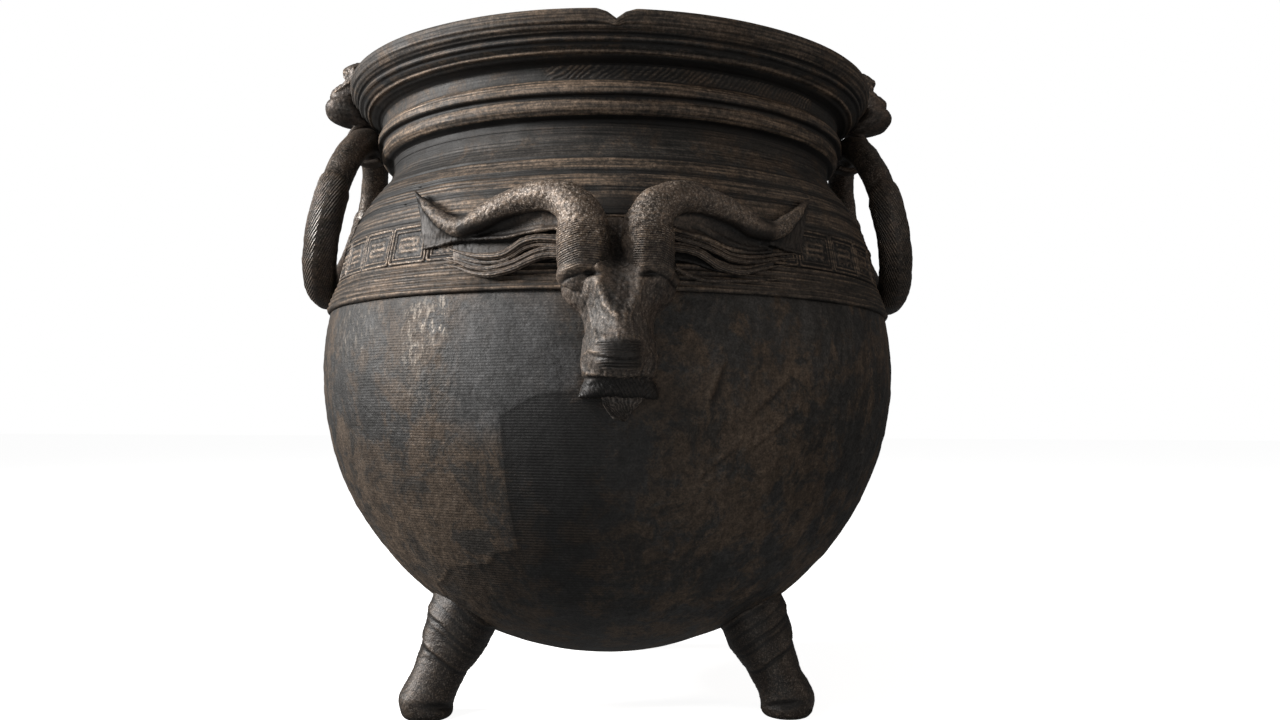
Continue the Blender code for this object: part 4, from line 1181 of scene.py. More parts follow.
head = shown(
    "rams_head", head_mesh, "cauldron", "dark_bronze", ["cauldron_body"],
    worn=np.clip(head_wear_and_light, 0, 1.2) * (1 - 0.7 * np.clip(dark_and_shaded_places, 0, 1)),
    hollow=head_dirt_and_shade * (1 - 0.42 * in_groove),
    grain=np.clip(0.5 + on_horn - smooth_part, 0, 1.2),
    # painted glints: specks only where the head is not darkened, and fewer on its right side
    specks=head_specks * lit_share * (1 - 0.5 * right_side),
    line_phase=head_phase, lined=brow_lined + pad_lined + chin_lined, sheen=0.5 * on_chin,
)

# %% [markdown]
# ### The wavy locks
# Two wavy locks run out below each horn, and a thin one under them on the right. They are combed ropes laid
# side by side on the sunk bed, and they end flat on the wall. They could be fused with the head, but its mesh
# is too coarse for the combing, so each is swept along its own route. Its radius swells with the cosine of
# nine turns round it.

# %% Combed ropes
COMBS = 9
ROPE_SIDES = 36
LEFT_UPPER = [
    # across, up and proud, as in the other locks
    (-0.240, 0.905, 0.105), (-0.301, 0.920, 0.105), (-0.369, 0.928, 0.098), (-0.445, 0.931, 0.088),
    (-0.524, 0.912, 0.076), (-0.587, 0.874, 0.064), (-0.646, 0.847, 0.054), (-0.732, 0.840, 0.042),
    (-0.852, 0.855, 0.028), (-0.953, 0.882, 0.016), (-1.054, 0.917, 0.000),
]
LEFT_LOWER = [
    (-0.235, 0.835, 0.100), (-0.291, 0.855, 0.098), (-0.371, 0.864, 0.086), (-0.447, 0.849, 0.074),
    (-0.526, 0.816, 0.060), (-0.589, 0.790, 0.050), (-0.672, 0.770, 0.040), (-0.758, 0.762, 0.032),
    (-0.871, 0.782, 0.024), (-0.972, 0.821, 0.014), (-1.100, 0.852, 0.000),
]
RIGHT_UPPER = [
    (0.290, 0.972, 0.110), (0.368, 0.956, 0.104), (0.451, 0.938, 0.096), (0.519, 0.919, 0.086),
    (0.603, 0.890, 0.070), (0.684, 0.860, 0.056), (0.820, 0.854, 0.038), (0.986, 0.884, 0.022),
    (1.137, 0.907, 0.008), (1.260, 0.917, 0.000),
]
RIGHT_LOWER = [
    (0.290, 0.878, 0.100), (0.358, 0.880, 0.098), (0.453, 0.866, 0.084), (0.522, 0.835, 0.070),
    (0.587, 0.798, 0.056), (0.668, 0.774, 0.044), (0.752, 0.765, 0.036), (0.855, 0.784, 0.026),
    (0.991, 0.822, 0.014), (1.141, 0.850, 0.000),
]
RIGHT_THIN = [
    (0.300, 0.775, 0.070), (0.361, 0.753, 0.066), (0.410, 0.733, 0.050), (0.488, 0.711, 0.028),
    (0.575, 0.703, 0.016), (0.668, 0.709, 0.012), (0.833, 0.720, 0.008), (1.014, 0.744, 0.002),
    (1.133, 0.771, -0.004),
]
ROPES = [
    # route, how far above it, and the rope's radius, in shares
    (LEFT_UPPER, 0.004, 0.025), (LEFT_UPPER, -0.034, 0.014), (LEFT_LOWER, 0.006, 0.021),
    (LEFT_LOWER, -0.028, 0.021), (RIGHT_UPPER, 0.012, 0.016), (RIGHT_UPPER, -0.018, 0.015),
    (RIGHT_LOWER, 0.000, 0.019), (RIGHT_LOWER, 0.030, 0.012), (RIGHT_THIN, 0.000, 0.011),
]


def rope(route, lift, radius, start):
    """A combed rod: its radius swells with the cosine of nine turns round it, which drifts along it."""
    across, up, proud = flowing(route, 80).T
    length = np.linspace(0, 1, 80)[:, None]
    around = 2 * np.pi * np.arange(ROPE_SIDES)[None, :] / ROPE_SIDES
    comb = np.cos(COMBS * around + 2.4 * np.sin(3.2 * length + start))
    radii = radius * FACE * (1 - 0.75 * ease(length, 0.60, 1.0)) * (1 + 0.09 * comb)
    solid = rod(on_wall(across, up + lift, proud - 0.3 * abs(lift)), radii, ROPE_SIDES, 1.15)
    return solid, ((0.5 + 0.5 * comb) * ease(np.sin(around), -0.4, 0.6)).ravel()


ropes = [rope(*shape, 1.7 * number) for number, shape in enumerate(ROPES)]
ridges = np.concatenate([np.append(ridge, [0, 0]) for solid, ridge in ropes])
lock_mesh = mesh_from("locks", [solid for solid, ridge in ropes])
lock_grain = waves(coordinates(lock_mesh), 0.0030, 28, 26)
pushed(lock_mesh, 0.00014 * lock_grain)
locks = shown(
    "locks", lock_mesh, "cauldron", "dark_bronze", ["cauldron_body"],
    worn=0.05 + 0.85 * ridges, hollow=np.clip(0.85 - 1.3 * ridges, 0, 1) + 0.2 * ease(-lock_grain, 0.2, 1.2),
    grain=0.7 + 0 * ridges, specks=0.35 * ridges,
)

# %% [markdown]
# ### The beard
# A small tuft hangs under the chin. Hair could be particles, but a cast beard is solid, so it is a flat body
# with a dozen strands on it. They sweep across as they go down and meet in one point, and are fused with the
# body by a finer remesh than the head's. Dark lines between the finest hairs come with the finish.

# %% The beard under the chin
BEARD_UP = np.array([0.050, 0.010, -0.030, -0.067, -0.085, -0.118])
BEARD_MIDDLE = np.array([0.045, 0.045, 0.030, 0.030, 0.035, 0.058])
BEARD_HALF = np.array([0.110, 0.106, 0.080, 0.058, 0.046, 0.006])
BEARD_PROUD = np.array([0.150, 0.130, 0.100, 0.066, 0.046, 0.010])
STRANDS = 12
SWEEP = 1.3


def beard():
    """A flat body and strands that keep their share of its width while it narrows to one point."""
    body = np.stack([BEARD_MIDDLE, BEARD_UP, BEARD_PROUD - 0.062, 0.92 * BEARD_HALF + 0.004], 1)
    forms = [strand(body, sides=24, flatness=0.6)]
    for share in np.linspace(-0.8, 1 + SWEEP, STRANDS):
        front = 0.006 - 0.020 * min(share**2, 1) + 0.006 * np.sin(9 * share)
        place = np.clip(share - SWEEP * (BEARD_UP - BEARD_UP[-1]) / np.ptp(BEARD_UP), -1, 1)
        across = BEARD_MIDDLE + place * BEARD_HALF
        route = np.stack([across, BEARD_UP, BEARD_PROUD + front, 0.0060 + 0.045 * BEARD_HALF], 1)
        forms.append(strand(route, sides=10, count=40))
    return forms


BEARD_VOXEL = 0.00060
beard_mesh = fused("beard", beard(), BEARD_VOXEL, 1)
beard_edges, beard_gaps = rubbed_and_sunk(beard_mesh, 8, 0.00045)
beard_places = coordinates(beard_mesh)
beard_across, beard_up, _ = wall_shares(beard_places)
beard_middle, beard_half = (np.interp(-beard_up, -BEARD_UP, values) for values in (BEARD_MIDDLE, BEARD_HALF))
beard_share = (beard_across - beard_middle) / beard_half
beard_swept = beard_share + SWEEP * (beard_up - BEARD_UP[-1]) / np.ptp(BEARD_UP)
beard_piece = shown(
    "beard", beard_mesh, "cauldron", "dark_bronze", ["cauldron_body"],
    worn=0.20 + 0.4 * beard_edges, hollow=np.clip(0.05 + 0.9 * beard_gaps, 0, 1), grain=0.3 + 0 * beard_edges,
    line_phase=beard_swept * 4.2 + 0.35 * waves(beard_places, 0.006, 29),
    lined=1.1 * facing(beard_share, -1.2, 1.2, 0.1), sheen=0.6 + 0 * beard_up,
)

# %% [markdown]
# ## The legs
# Each leg is a short animal's leg: a rounded hoof, a narrow ankle, and soft folds where the skin gathers
# under the bowl. It is a stack of tilted rings about a splayed line. The folds overlap downwards like
# cuffs, so the radius follows a saw tooth with soft edges. Where a ring would enter the bowl, its points
# stop 3 mm inside the wall, so the top fits the round bottom.

# %% Leg surface
LEG_STATIONS = [
    # distance from the axis, height, radius, tilt in degrees
    (0.1590, 0.0000, 0.0150, 0), (0.1592, 0.0010, 0.0176, 0), (0.1598, 0.0048, 0.0200, 3),
    (0.1602, 0.0130, 0.0208, 10), (0.1570, 0.0200, 0.0198, 16), (0.1520, 0.0290, 0.0193, 22),
    (0.1470, 0.0400, 0.0202, 25), (0.1420, 0.0490, 0.0228, 28), (0.1385, 0.0570, 0.0248, 30),
    (0.1340, 0.0680, 0.0266, 32), (0.1270, 0.0820, 0.0277, 33), (0.1200, 0.1000, 0.0287, 34),
]
FOLDS = [(0.0475, 1.7), (0.0600, 0.5), (0.0645, 1.1), (0.0735, 0.5), (0.0820, 1.8)]
FOLD_SLANT = 0.0085
TOE_HOLLOWS = {-60: 100, 60: -75, 180: 0}


def leg_parts(angle):
    """A tilted ring at each station; each fold stands out over its slanting line and then fades."""
    stations = flowing(LEG_STATIONS, 170)
    reach, level, radius, tilt = (column[:, None] for column in stations.T)
    lean = np.radians(tilt)
    turn = 2 * np.pi * np.arange(72)[None, :] / 72
    outer_side = -np.sign(round(np.sin(angle), 3))
    slanted = level + FOLD_SLANT * np.sin(turn) * outer_side + 0.0012 * np.sin(3 * turn + 40 * level)
    fold = sum(
        tall / 1000 * ease(slanted, line - 0.0007, line + 0.0007)
        * np.exp(-(np.maximum(slanted - line, 0) / 0.0070))
        for line, tall in FOLDS
    )
    wide = radius + fold * (0.70 + 0.30 * np.cos(turn))
    under_fold = sum(min(tall, 1) * bump(slanted, line - 0.0014, 0.0010) for line, tall in FOLDS)
    out, across = wide * np.cos(turn), wide * np.sin(turn)
    distance = reach + out * np.cos(lean)
    height = np.maximum(level + out * np.sin(lean), 0)
    x = distance * np.sin(angle) + across * np.cos(angle)
    y = -distance * np.cos(angle) + across * np.sin(angle)
    depth = 1 - 0.0030 / BELLY_RADIUS
    measure = np.sqrt((x**2 + y**2) / BELLY_RADIUS**2 + ((height - EQUATOR_Z) / BOWL_DEPTH) ** 2)
    back = np.maximum(1, depth / measure)
    points = np.stack([x * back, AXIS_Y + y * back, EQUATOR_Z + (height - EQUATOR_Z) * back], -1)
    return points, turn * np.ones_like(level), level * np.ones_like(turn), under_fold


def make_leg(name, node, angle, seed):
    """One leg with its folds, its hoof's small hollow and a cast grain."""
    points, turn, level, under_fold = leg_parts(angle)
    mesh = mesh_from(name, [capped(points)])
    places = coordinates(mesh)
    side = np.append(turn.ravel(), [0, 0])
    rise = np.append(level.ravel(), [0, 0.1])
    toe = np.radians(TOE_HOLLOWS[round(np.degrees(angle))])
    hole = bump(np.angle(np.exp(1j * (side - toe))), 0, 0.62) * bump(rise, 0.0115, 0.0032)
    free = ease(rise, 0.0015, 0.005) * (1 - ease(rise, 0.088, 0.096))
    grainy = 0.6 * waves(places, 0.0034, seed, 26) + 0.4 * waves(places, 0.0022, seed + 1, 26)
    heights = 0.00020 * grainy + 0.0004 * waves(places, 0.02, seed + 2) - 0.0026 * hole
    pushed(mesh, heights * free)
    rubbed, cavity = rubbed_and_sunk(mesh, 10, 0.0005)
    # painted shade: darker towards the top under the bowl, under each fold and in the toe's hollow
    shadow = 0.7 * np.append(under_fold.ravel(), [0, 0])
    return shown(
        name, mesh, "cauldron", "worn_bronze", [node],
        worn=np.clip(0.12 + 0.7 * rubbed, 0, 1),
        hollow=np.clip(0.54 + 0.16 * ease(rise, 0.030, 0.065) + cavity + hole + shadow, 0, 1),
        grain=np.full(len(places), 1.0), specks=np.full(len(places), 0.42),
    )


legs = [
    make_leg("front_left_leg_casting", "front_left_leg", np.radians(-60), 31),
    make_leg("front_right_leg_casting", "front_right_leg", np.radians(60), 41),
    make_leg("back_leg_casting", "back_leg", np.radians(180), 51),
]

# %% [markdown]
# ## The masks on the rim
# A small beast's head bites each side of the rim: brows and scrolls above, a blunt nose, a thin bright lip
# and a smooth heavy jaw. Under the jaw is a flat bent eye that carries the ring. The mask is stacked from
# level sections that end in the rim's wall, fused with its eye, and carved with the same kind of strokes.

# %% Masks with their eyes
MASK_LOW, MASK_HIGH = 0.4765, 0.5285
MASK_SECTIONS = [
    # share of the height, how far beyond the rim in millimetres, half width in millimetres, squareness
    (0.00, 9.0, 9.0, 0.8), (0.03, 15.0, 13.0, 0.8), (0.09, 21.0, 16.5, 0.75), (0.18, 24.6, 19.5, 0.7),
    (0.27, 25.5, 20.5, 0.7), (0.35, 23.4, 21.0, 0.7), (0.405, 20.4, 18.6, 0.75), (0.46, 21.6, 18.5, 0.8),
    (0.53, 22.0, 19.0, 0.85), (0.60, 16.4, 20.4, 0.8), (0.68, 10.0, 22.0, 0.75), (0.76, 9.2, 22.3, 0.75),
    (0.85, 9.6, 21.6, 0.75), (0.94, 6.0, 18.5, 0.8), (1.00, 1.5, 13.0, 0.9),
]
MASK_BACK = 0.2057
MASK_VOXEL = 0.00080
RIM_REACH = 0.2192
ROD_TOP, EYE_GAP, EYE_THICK, EYE_WIDE = 0.0118, 0.0026, 0.0050, 0.0160
MASK_CARVING = {
    # from the middle, level, upright squeeze, ring radius, width and height, in metres but for the squeeze
    "brow": (0.0105, 0.5205, 1.3, 0, 0.0052, 0.0016),
    "eye_pit": (0.0118, 0.5118, 1.2, 0, 0.0030, -0.0022),
    "eye_ball": (0.0118, 0.5118, 1.2, 0, 0.0014, 0.0022),
    "nostril": (0.0062, 0.5035, 1.2, 0, 0.0018, -0.0016),
    "scroll": (0.0165, 0.5160, 1.0, 0.0030, 0.0010, 0.0011),
}


def mask_surface(side):
    """Level sections: the front bulges as a power of the cosine and the back follows the rim's wall."""
    levels = flowing(MASK_SECTIONS, 110)
    up, out, half, power = (column[:, None] for column in levels.T)
    level = MASK_LOW + up * (MASK_HIGH - MASK_LOW)
    turn = 2 * np.pi * (np.arange(90)[None, :] + 0.5) / 90
    across = half / 1000 * np.sin(turn)
    sunk = np.where(level < RIM_Z - 0.0004, wall_radius(np.minimum(level, 0.497)) - 0.003, MASK_BACK)
    back = np.sqrt(np.maximum(sunk**2 - across**2, 0))
    front = np.sqrt((RIM_REACH + out / 1000) ** 2 - across**2)
    bulge = 0.5 + 0.5 * np.sign(np.cos(turn)) * np.abs(np.cos(turn)) ** power
    return capped(np.stack([side * (back + (front - back) * bulge), AXIS_Y + across, level + 0 * across], -1))


def eye_surface(side):
    """A flat band with rounded edges, bent about the ring's pivot."""
    turn = np.radians(np.linspace(-125, 105, 60))[:, None]
    edge = 2 * np.pi * np.arange(24)[None, :] / 24
    flat_x = np.sign(np.cos(edge)) * np.abs(np.cos(edge)) ** 0.5
    flat_y = np.sign(np.sin(edge)) * np.abs(np.sin(edge)) ** 0.5
    radius = ROD_TOP + EYE_GAP + EYE_THICK / 2 + EYE_THICK / 2 * flat_x
    x = side * (PIVOT_RADIUS + radius * np.cos(turn))
    y = AXIS_Y + EYE_WIDE / 2 * flat_y * np.ones_like(turn)
    reach = np.hypot(x, y - AXIS_Y)
    z = PIVOT_Z + radius * np.sin(turn)
    kept = np.maximum(reach, wall_radius(z) - 0.0028)
    return capped(np.stack([x * kept / reach, AXIS_Y + (y - AXIS_Y) * kept / reach, z], -1))


def make_mask(name, node, side, seed):
    """One mask with its eye, carved, and grainy above the lip."""
    mesh = fused(name, [mask_surface(side), eye_surface(side)], MASK_VOXEL, 1)
    places = coordinates(mesh)
    across = np.abs(places[:, 1] - AXIS_Y)
    level = places[:, 2]
    beyond = np.hypot(places[:, 0], places[:, 1] - AXIS_Y) - RIM_REACH
    lip_line = 0.4972 + np.clip(0.0235 - beyond, 0, 0.03) * 0.55
    lip = bump(level, lip_line, 0.0011) * ease(beyond, 0.0005, 0.003)
    above = ease(level - lip_line, 0.0005, 0.003)
    bells = {
        mark: bump(np.hypot(across - aside, (level - up) * squeeze), ring, width)
        for mark, (aside, up, squeeze, ring, width, _) in MASK_CARVING.items()
    }
    heights = sum(MASK_CARVING[mark][-1] * bell for mark, bell in bells.items())
    middle_groove = bump(across, 0, 0.0014) * facing(level, 0.509, 0.526, 0.002)
    heights = heights * above * ease(beyond, -0.004, 0.002) - 0.0009 * middle_groove + 0.0008 * lip
    heights += above * 0.00045 * waves(places, 0.0060, seed, 22) * ease(beyond, -0.006, 0.0)
    heights += 0.00012 * waves(places, 0.0030, seed + 1, 22) + 0.0003 * waves(places, 0.016, seed + 2)
    heights = heights * ease(level, PIVOT_Z + 0.012, PIVOT_Z + 0.018)
    pushed(mesh, heights)
    rubbed, cavity = rubbed_and_sunk(mesh, 10, 0.0005)
    return shown(
        name, mesh, "cauldron", "worn_bronze", [node],
        worn=np.clip(0.15 + rubbed * (0.4 + 0.6 * above) + 0.6 * lip, 0, 1),
        hollow=np.clip(cavity + bells["eye_pit"] * above, 0, 1),
        grain=0.3 + 0.6 * above, specks=0.35 * above,
    )


masks = [make_mask("left_mask", "left_lug", -1, 61), make_mask("right_mask", "right_lug", 1, 71)]

# %% [markdown]
# ## The ring handles
# Each ring is a thick rod bent into a circle that hangs in its eye and leans on the belly. It is thinner
# where it hangs, and the lower part is a sleeve that starts in a slanted step. The upper part is pitted,
# and the sleeve has fine slanting strokes like hair. A torus whose rod radius changes on its way round does
# all of it.

# %% Ring surface
RING_RADIUS = 0.0665
ROD_LOW = 0.0137
RING_LEAN = np.radians(14.32)
HAIRS_ROUND, HAIRS_ALONG = 40, 90


def ring_surface(side):
    """A torus about the hanging circle: its rod grows from 11.8 to 13.7 mm over a short slanted step."""
    turn = 2 * np.pi * np.arange(260)[:, None] / 260
    edge = 2 * np.pi * np.arange(56)[None, :] / 56
    share = (1 - np.cos(turn)) / 2
    slant = 0.035 * np.cos(edge) + 0.02 * np.sin(edge + 1.0)
    step = ease(share + slant, 0.375, 0.415)
    rod_radius = ROD_TOP + (ROD_LOW - ROD_TOP) * step
    from_middle = RING_RADIUS + rod_radius * np.cos(edge)
    down, across = RING_RADIUS - from_middle * np.cos(turn), from_middle * np.sin(turn)
    out = rod_radius * np.sin(edge)
    x = side * (PIVOT_RADIUS + down * np.sin(RING_LEAN) + out * np.cos(RING_LEAN))
    z = PIVOT_Z - down * np.cos(RING_LEAN) + out * np.sin(RING_LEAN)
    return np.stack([x, AXIS_Y + across, z], -1), step, turn * np.ones_like(edge), edge * np.ones_like(turn)


def make_ring(name, node, body, side, seed):
    """One ring with its grain above the step and its strokes below it."""
    points, step, turn, edge = ring_surface(side)
    mesh = mesh_from(name, [ring_of(points)])
    places = coordinates(mesh)
    sleeve = step.ravel()
    strokes = np.cos(46 * turn + 5 * edge).ravel() * (0.6 + 0.4 * waves(places, 0.012, seed + 3))
    grainy = 0.6 * waves(places, 0.0036, seed, 26) + 0.4 * waves(places, 0.0024, seed + 1, 26)
    heights = (
        0.00016 * grainy * (1 - 0.5 * sleeve) + 0.00016 * strokes * sleeve
        + 0.00025 * waves(places, 0.018, seed + 2) - 0.0003
    )
    pushed(mesh, heights)
    rubbed, cavity = rubbed_and_sunk(mesh, 8, 0.0005)
    outer_side = 0.5 + 0.5 * np.sin(edge).ravel()
    unbroken = (np.arange(edge.shape[1]) > 0) * (np.arange(edge.shape[1]) < edge.shape[1] - 1)
    return shown(
        name, mesh, body, "worn_bronze", [node],
        worn=np.clip(0.08 + 0.22 * outer_side * (1 - sleeve) + 0.6 * rubbed, 0, 1),
        hollow=np.clip(0.26 + cavity, 0, 1),
        grain=1.0 - 0.2 * sleeve, specks=0.50 * (1 - 0.5 * sleeve),
        line_phase=(HAIRS_ROUND * edge + HAIRS_ALONG * turn).ravel() / (2 * np.pi),
        lined=(step * unbroken).ravel(),
    )


rings = [
    make_ring("left_ring", "left_ring_handle", "left_ring", -1, 81),
    make_ring("right_ring", "right_ring_handle", "right_ring", 1, 91),
]

# %% [markdown]
# ## The patina
# Old cast bronze is a dark skin, charcoal with brown earth in it, over metal that shows tan where it is
# rubbed. One recipe serves the whole pot: large noise mixes charcoal and earth, the masks bring up the tan
# metal through streaks and grain and as painted highlights, grooves are darkened with dirt and painted shade,
# and bright specks of bare metal and painted glints lie on the grainy places, on the frets and the head only
# where these are lit.
# A separate image per place would be sharper but could not be seen from all sides.


# %% Node helpers
class Recipe:
    """A material's node tree with short ways to add its nodes."""

    def __init__(self, name):
        self.material = bpy.data.materials.new(name)
        self.material.use_nodes = True
        self.tree = self.material.node_tree
        self.shader = self.tree.nodes["Principled BSDF"]
        self.place = self.tree.nodes.new("ShaderNodeTexCoord").outputs["Object"]

    def put(self, socket, value):
        """Links a socket, or sets its value if it is a plain number or colour."""
        if isinstance(value, bpy.types.NodeSocket):
            self.tree.links.new(value, socket)
        else:
            socket.default_value = value

    def mask(self, name):
        """The mask of that name kept with the mesh, which is 0 where a mesh has none."""
        node = self.tree.nodes.new("ShaderNodeAttribute")
        node.attribute_name = name
        return node.outputs["Fac"]

    def stretched(self, scale, turn=(0, 0, 0)):
        """Object coordinates multiplied by a scale in each direction, after a turn."""
        node = self.tree.nodes.new("ShaderNodeMapping")
        node.inputs["Rotation"].default_value = turn
        node.inputs["Scale"].default_value = scale
        self.put(node.inputs["Vector"], self.place)
        return node.outputs[0]

    def noise(self, size, detail=4.0, roughness=0.55, where=None, distortion=0.0):
        """Cloudy noise whose lumps are about this many metres wide."""
        node = self.tree.nodes.new("ShaderNodeTexNoise")
        self.put(node.inputs["Vector"], where or self.place)
        node.inputs["Scale"].default_value = 1 / size
        node.inputs["Detail"].default_value = detail
        node.inputs["Roughness"].default_value = roughness
        node.inputs["Distortion"].default_value = distortion
        return node.outputs["Fac"]

    def between(self, value, low, high, least=0.0, most=1.0):
        """The value's way from low to high, stretched to go from least to most, with soft ends."""
        node = self.tree.nodes.new("ShaderNodeMapRange")
        node.interpolation_type = "SMOOTHSTEP"
        for socket, number in zip(node.inputs[:5], (value, low, high, least, most)):
            self.put(socket, number)
        return node.outputs[0]

    def sums(self, operation, first, second, third=None):
        """A sum, product or the like of two values, or of three."""
        node = self.tree.nodes.new("ShaderNodeMath")
        node.operation = operation
        for socket, value in zip(node.inputs, (first, second, third)):
            if value is not None:
                self.put(socket, value)
        return node.outputs[0]

    def blend(self, share, first, second, way="MIX"):
        """One colour turning into another as the share goes from 0 to 1."""
        node = self.tree.nodes.new("ShaderNodeMix")
        node.data_type = "RGBA"
        node.blend_type = way
        node.clamp_factor = True
        for socket, value in zip((node.inputs[0], node.inputs[6], node.inputs[7]), (share, first, second)):
            self.put(socket, value)
        return node.outputs[2]


# %% Aged bronze
CHARCOAL = (0.027, 0.027, 0.026, 1)
SLATE = (0.082, 0.083, 0.085, 1)
EARTH = (0.072, 0.053, 0.039, 1)
BLOOM = (0.290, 0.252, 0.212, 1)
TAN = (0.165, 0.120, 0.085, 1)
GLINT = (0.42, 0.36, 0.31, 1)
NEAR_BLACK = (0.0075, 0.0073, 0.0073, 1)
TOOL_PITCH = 0.0019


class Patina(Recipe):
    """The recipe of aged bronze: its colour and its relief share one set of patterns."""

    def __init__(self, name):
        super().__init__(name)
        self.clouds = self.noise(0.085, 4, 0.60)
        self.mottle = self.noise(0.021, 10, 0.74, distortion=0.4)
        self.fine = self.noise(0.0036, 5, 0.62)
        self.grain = self.noise(0.0013, 2, 0.5)
        self.blotches = self.noise(0.034, 9, 0.74, distortion=0.8)
        self.streaks = self.noise(0.0019, 3, 0.55, self.stretched((0.05, 0.05, 1)))
        self.worn = self.mask("worn")
        tooled = self.sums("MULTIPLY", self.mask("tooled"), self.between(self.mottle, 0.35, 0.62, 0.45, 1.0))
        self.tooled = self.sums("MULTIPLY", self.tool_lines(), tooled)
        line = self.sums("COSINE", self.sums("MULTIPLY", self.mask("line_phase"), 2 * np.pi), None)
        self.line = self.sums("MULTIPLY", line, self.mask("lined"))

    def tool_lines(self):
        """Level lines such as a turning tool leaves: a wave texture that changes only with the height."""
        tool = self.tree.nodes.new("ShaderNodeTexWave")
        tool.bands_direction = "Z"
        tool.inputs["Scale"].default_value = 2 * np.pi / (20 * TOOL_PITCH)
        tool.inputs["Distortion"].default_value = 3.0
        tool.inputs["Detail Scale"].default_value = 0.06
        self.put(tool.inputs["Vector"], self.place)
        return tool.outputs["Fac"]

    def skin(self, skin, earth):
        """Skin and earth mixed by large noise, with charcoal blotches, grey sheen and light bloom on top."""
        mixed = self.sums("MULTIPLY_ADD", self.mottle, 0.60, self.sums("MULTIPLY", self.clouds, 0.40))
        mixed = self.sums("MULTIPLY_ADD", self.mask("earth"), 0.07, mixed)
        colour = self.blend(self.between(mixed, 0.48, 0.57), skin, earth)
        colour = self.blend(self.between(self.blotches, 0.50, 0.58, 0.0, 0.80), colour, CHARCOAL)
        sheen = self.sums("MULTIPLY", self.mask("sheen"), self.between(self.mottle, 0.32, 0.66, 0.15, 0.95))
        colour = self.blend(sheen, colour, SLATE)
        flecks = self.noise(0.0036, 7, 0.74, self.stretched((1, 1, 0.40)))
        bloom = self.sums("MULTIPLY", self.mask("bloom"), self.between(flecks, 0.51, 0.60))
        return self.blend(bloom, colour, BLOOM)

    def rubbed(self, colour, line_contrast):
        """Tan metal where worn and on painted highlights, specks and painted glints, and the light and dark
        of grain and streaks.
        """
        texture = self.sums("MULTIPLY_ADD", self.streaks, 0.6, self.sums("MULTIPLY", self.fine, 0.4))
        tan = self.sums("MULTIPLY", self.worn, self.between(texture, 0.36, 0.62, 0.20, 1.0))
        colour = self.blend(tan, colour, TAN)
        speckle = self.between(self.noise(0.0011, 3, 0.6), 0.52, 0.64)
        colour = self.blend(self.sums("MULTIPLY", self.mask("specks"), speckle), colour, GLINT)
        for share in (
            self.between(self.fine, 0.28, 0.72, 0.66, 1.34),
            self.between(self.grain, 0.30, 0.70, 0.70, 1.35),
            self.between(self.streaks, 0.34, 0.66, 1 - line_contrast, 1 + line_contrast),
        ):
            colour = self.blend(1.0, colour, share, "MULTIPLY")
        return colour

    def darkened(self, colour):
        """The dark patch with its ragged edge, tool lines, drips, carved lines and the dirt and painted shade
        in hollows.
        """
        edge = self.sums("MULTIPLY_ADD", self.mottle, 0.16, self.sums("ADD", self.mask("patch"), -0.08))
        unfaded = self.sums("SUBTRACT", 1.0, self.mask("patch_fades"))
        patch = self.sums("MULTIPLY", self.between(edge, 0.46, 0.54), unfaded)
        colour = self.blend(self.sums("MULTIPLY", patch, 0.66), colour, NEAR_BLACK)
        drips = self.noise(0.011, 5, 0.62, self.stretched((1, 1, 0.13)))
        drips = self.between(drips, 0.36, 0.64, -0.24, 0.24)
        for share in (
            self.sums("MULTIPLY_ADD", self.tooled, -0.60, 1.08),
            self.sums("MULTIPLY_ADD", self.mask("drips"), drips, 1.0),
            self.sums("MULTIPLY_ADD", self.line, 0.42, 1.0),
        ):
            colour = self.blend(1.0, colour, share, "MULTIPLY")
        # dirt and painted shade: hollows, undercuts and shaded sides are blended towards near black
        shade_and_dirt = self.sums("MULTIPLY", self.mask("hollow"), self.between(self.fine, 0.3, 0.7, 0.80, 1.05))
        return self.blend(self.between(shade_and_dirt, 0.03, 0.95, 0.0, 0.90), colour, NEAR_BLACK)

    def heights(self, grain_depth, streak_depth):
        """Grain, roughness, streaks, tool lines and carved lines as one height in metres."""
        grain_height = self.sums("MULTIPLY_ADD", self.mask("grain"), grain_depth, 0.00004)
        lump_height = self.sums("MULTIPLY_ADD", self.mask("rough"), 0.00065, 0.00010)
        depth = self.sums("MULTIPLY", self.grain, grain_height)
        for pattern, tall in (
            (self.fine, lump_height), (self.streaks, streak_depth), (self.tooled, -0.00018),
            (self.line, 0.00028), (self.mottle, 0.0006),
        ):
            depth = self.sums("MULTIPLY_ADD", pattern, tall, depth)
        return depth


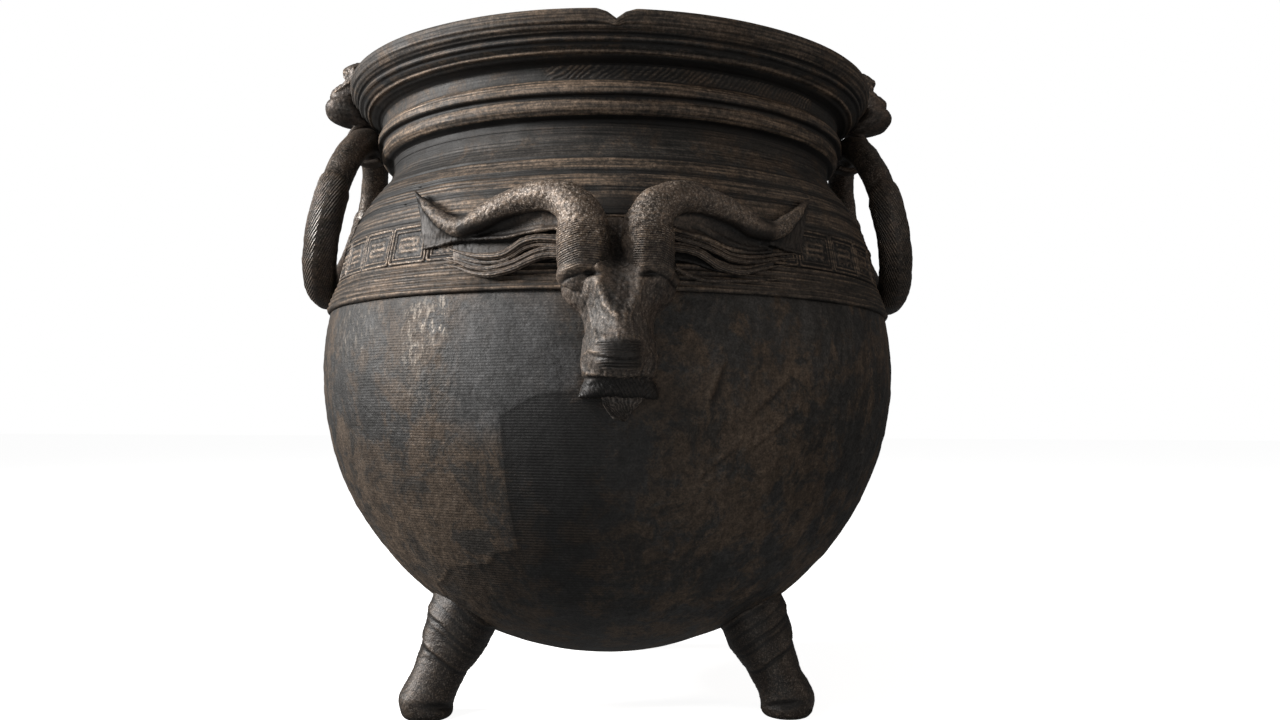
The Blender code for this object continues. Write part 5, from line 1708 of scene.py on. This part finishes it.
def aged_bronze(name, skin, earth, grain_depth, streak_depth, line_contrast, gloss):
    """The patina over one skin and one earth colour; the depths of grain and streaks are in metres."""
    recipe = Patina(name)
    colour = recipe.darkened(recipe.rubbed(recipe.skin(skin, earth), line_contrast))
    recipe.put(recipe.shader.inputs["Base Color"], colour)
    rough = recipe.between(recipe.mottle, 0.25, 0.75, gloss, gloss + 0.16)
    recipe.put(recipe.shader.inputs["Roughness"], recipe.sums("MULTIPLY_ADD", recipe.worn, -0.05, rough))
    recipe.shader.inputs["Metallic"].default_value = 0.30
    relief = recipe.tree.nodes.new("ShaderNodeBump")
    relief.inputs["Distance"].default_value = 1.0
    relief.inputs["Strength"].default_value = 1.0
    recipe.put(relief.inputs["Height"], recipe.heights(grain_depth, streak_depth))
    recipe.put(recipe.shader.inputs["Normal"], relief.outputs[0])
    print("material", name, len(recipe.tree.nodes), "nodes")
    return recipe.material


# %% Six finishes
FINISHES = [
    # name, skin, earth, grain depth, streak depth, contrast of the lines, roughness and the pieces
    (
        "turned_bronze", (0.034, 0.032, 0.030), EARTH[:3], 0.00012, 0.00025, 0.32, 0.56,
        [neck, cove_strokes, fret_band],
    ),
    ("blackened_bronze", (0.037, 0.036, 0.035), (0.082, 0.060, 0.043), 0.00016, 0.00002, 0.06, 0.52, [bowl]),
    (
        "relief_bronze", (0.066, 0.057, 0.051), (0.086, 0.066, 0.053), 0.00022, 0.0, 0.0, 0.48,
        [head, locks, beard_piece],
    ),
    ("handled_bronze", (0.054, 0.046, 0.041), (0.080, 0.060, 0.048), 0.00024, 0.0, 0.0, 0.44, masks),
    ("swinging_bronze", (0.050, 0.041, 0.035), (0.076, 0.055, 0.043), 0.00042, 0.0, 0.0, 0.30, rings),
    ("standing_bronze", (0.021, 0.0165, 0.0140), (0.033, 0.0235, 0.018), 0.00034, 0.0, 0.0, 0.40, legs),
]
for name, skin, earth, grain_depth, streak_depth, line_contrast, gloss, pieces in FINISHES:
    finish = aged_bronze(name, (*skin, 1), (*earth, 1), grain_depth, streak_depth, line_contrast, gloss)
    for piece in pieces:
        piece.data.materials.append(finish)
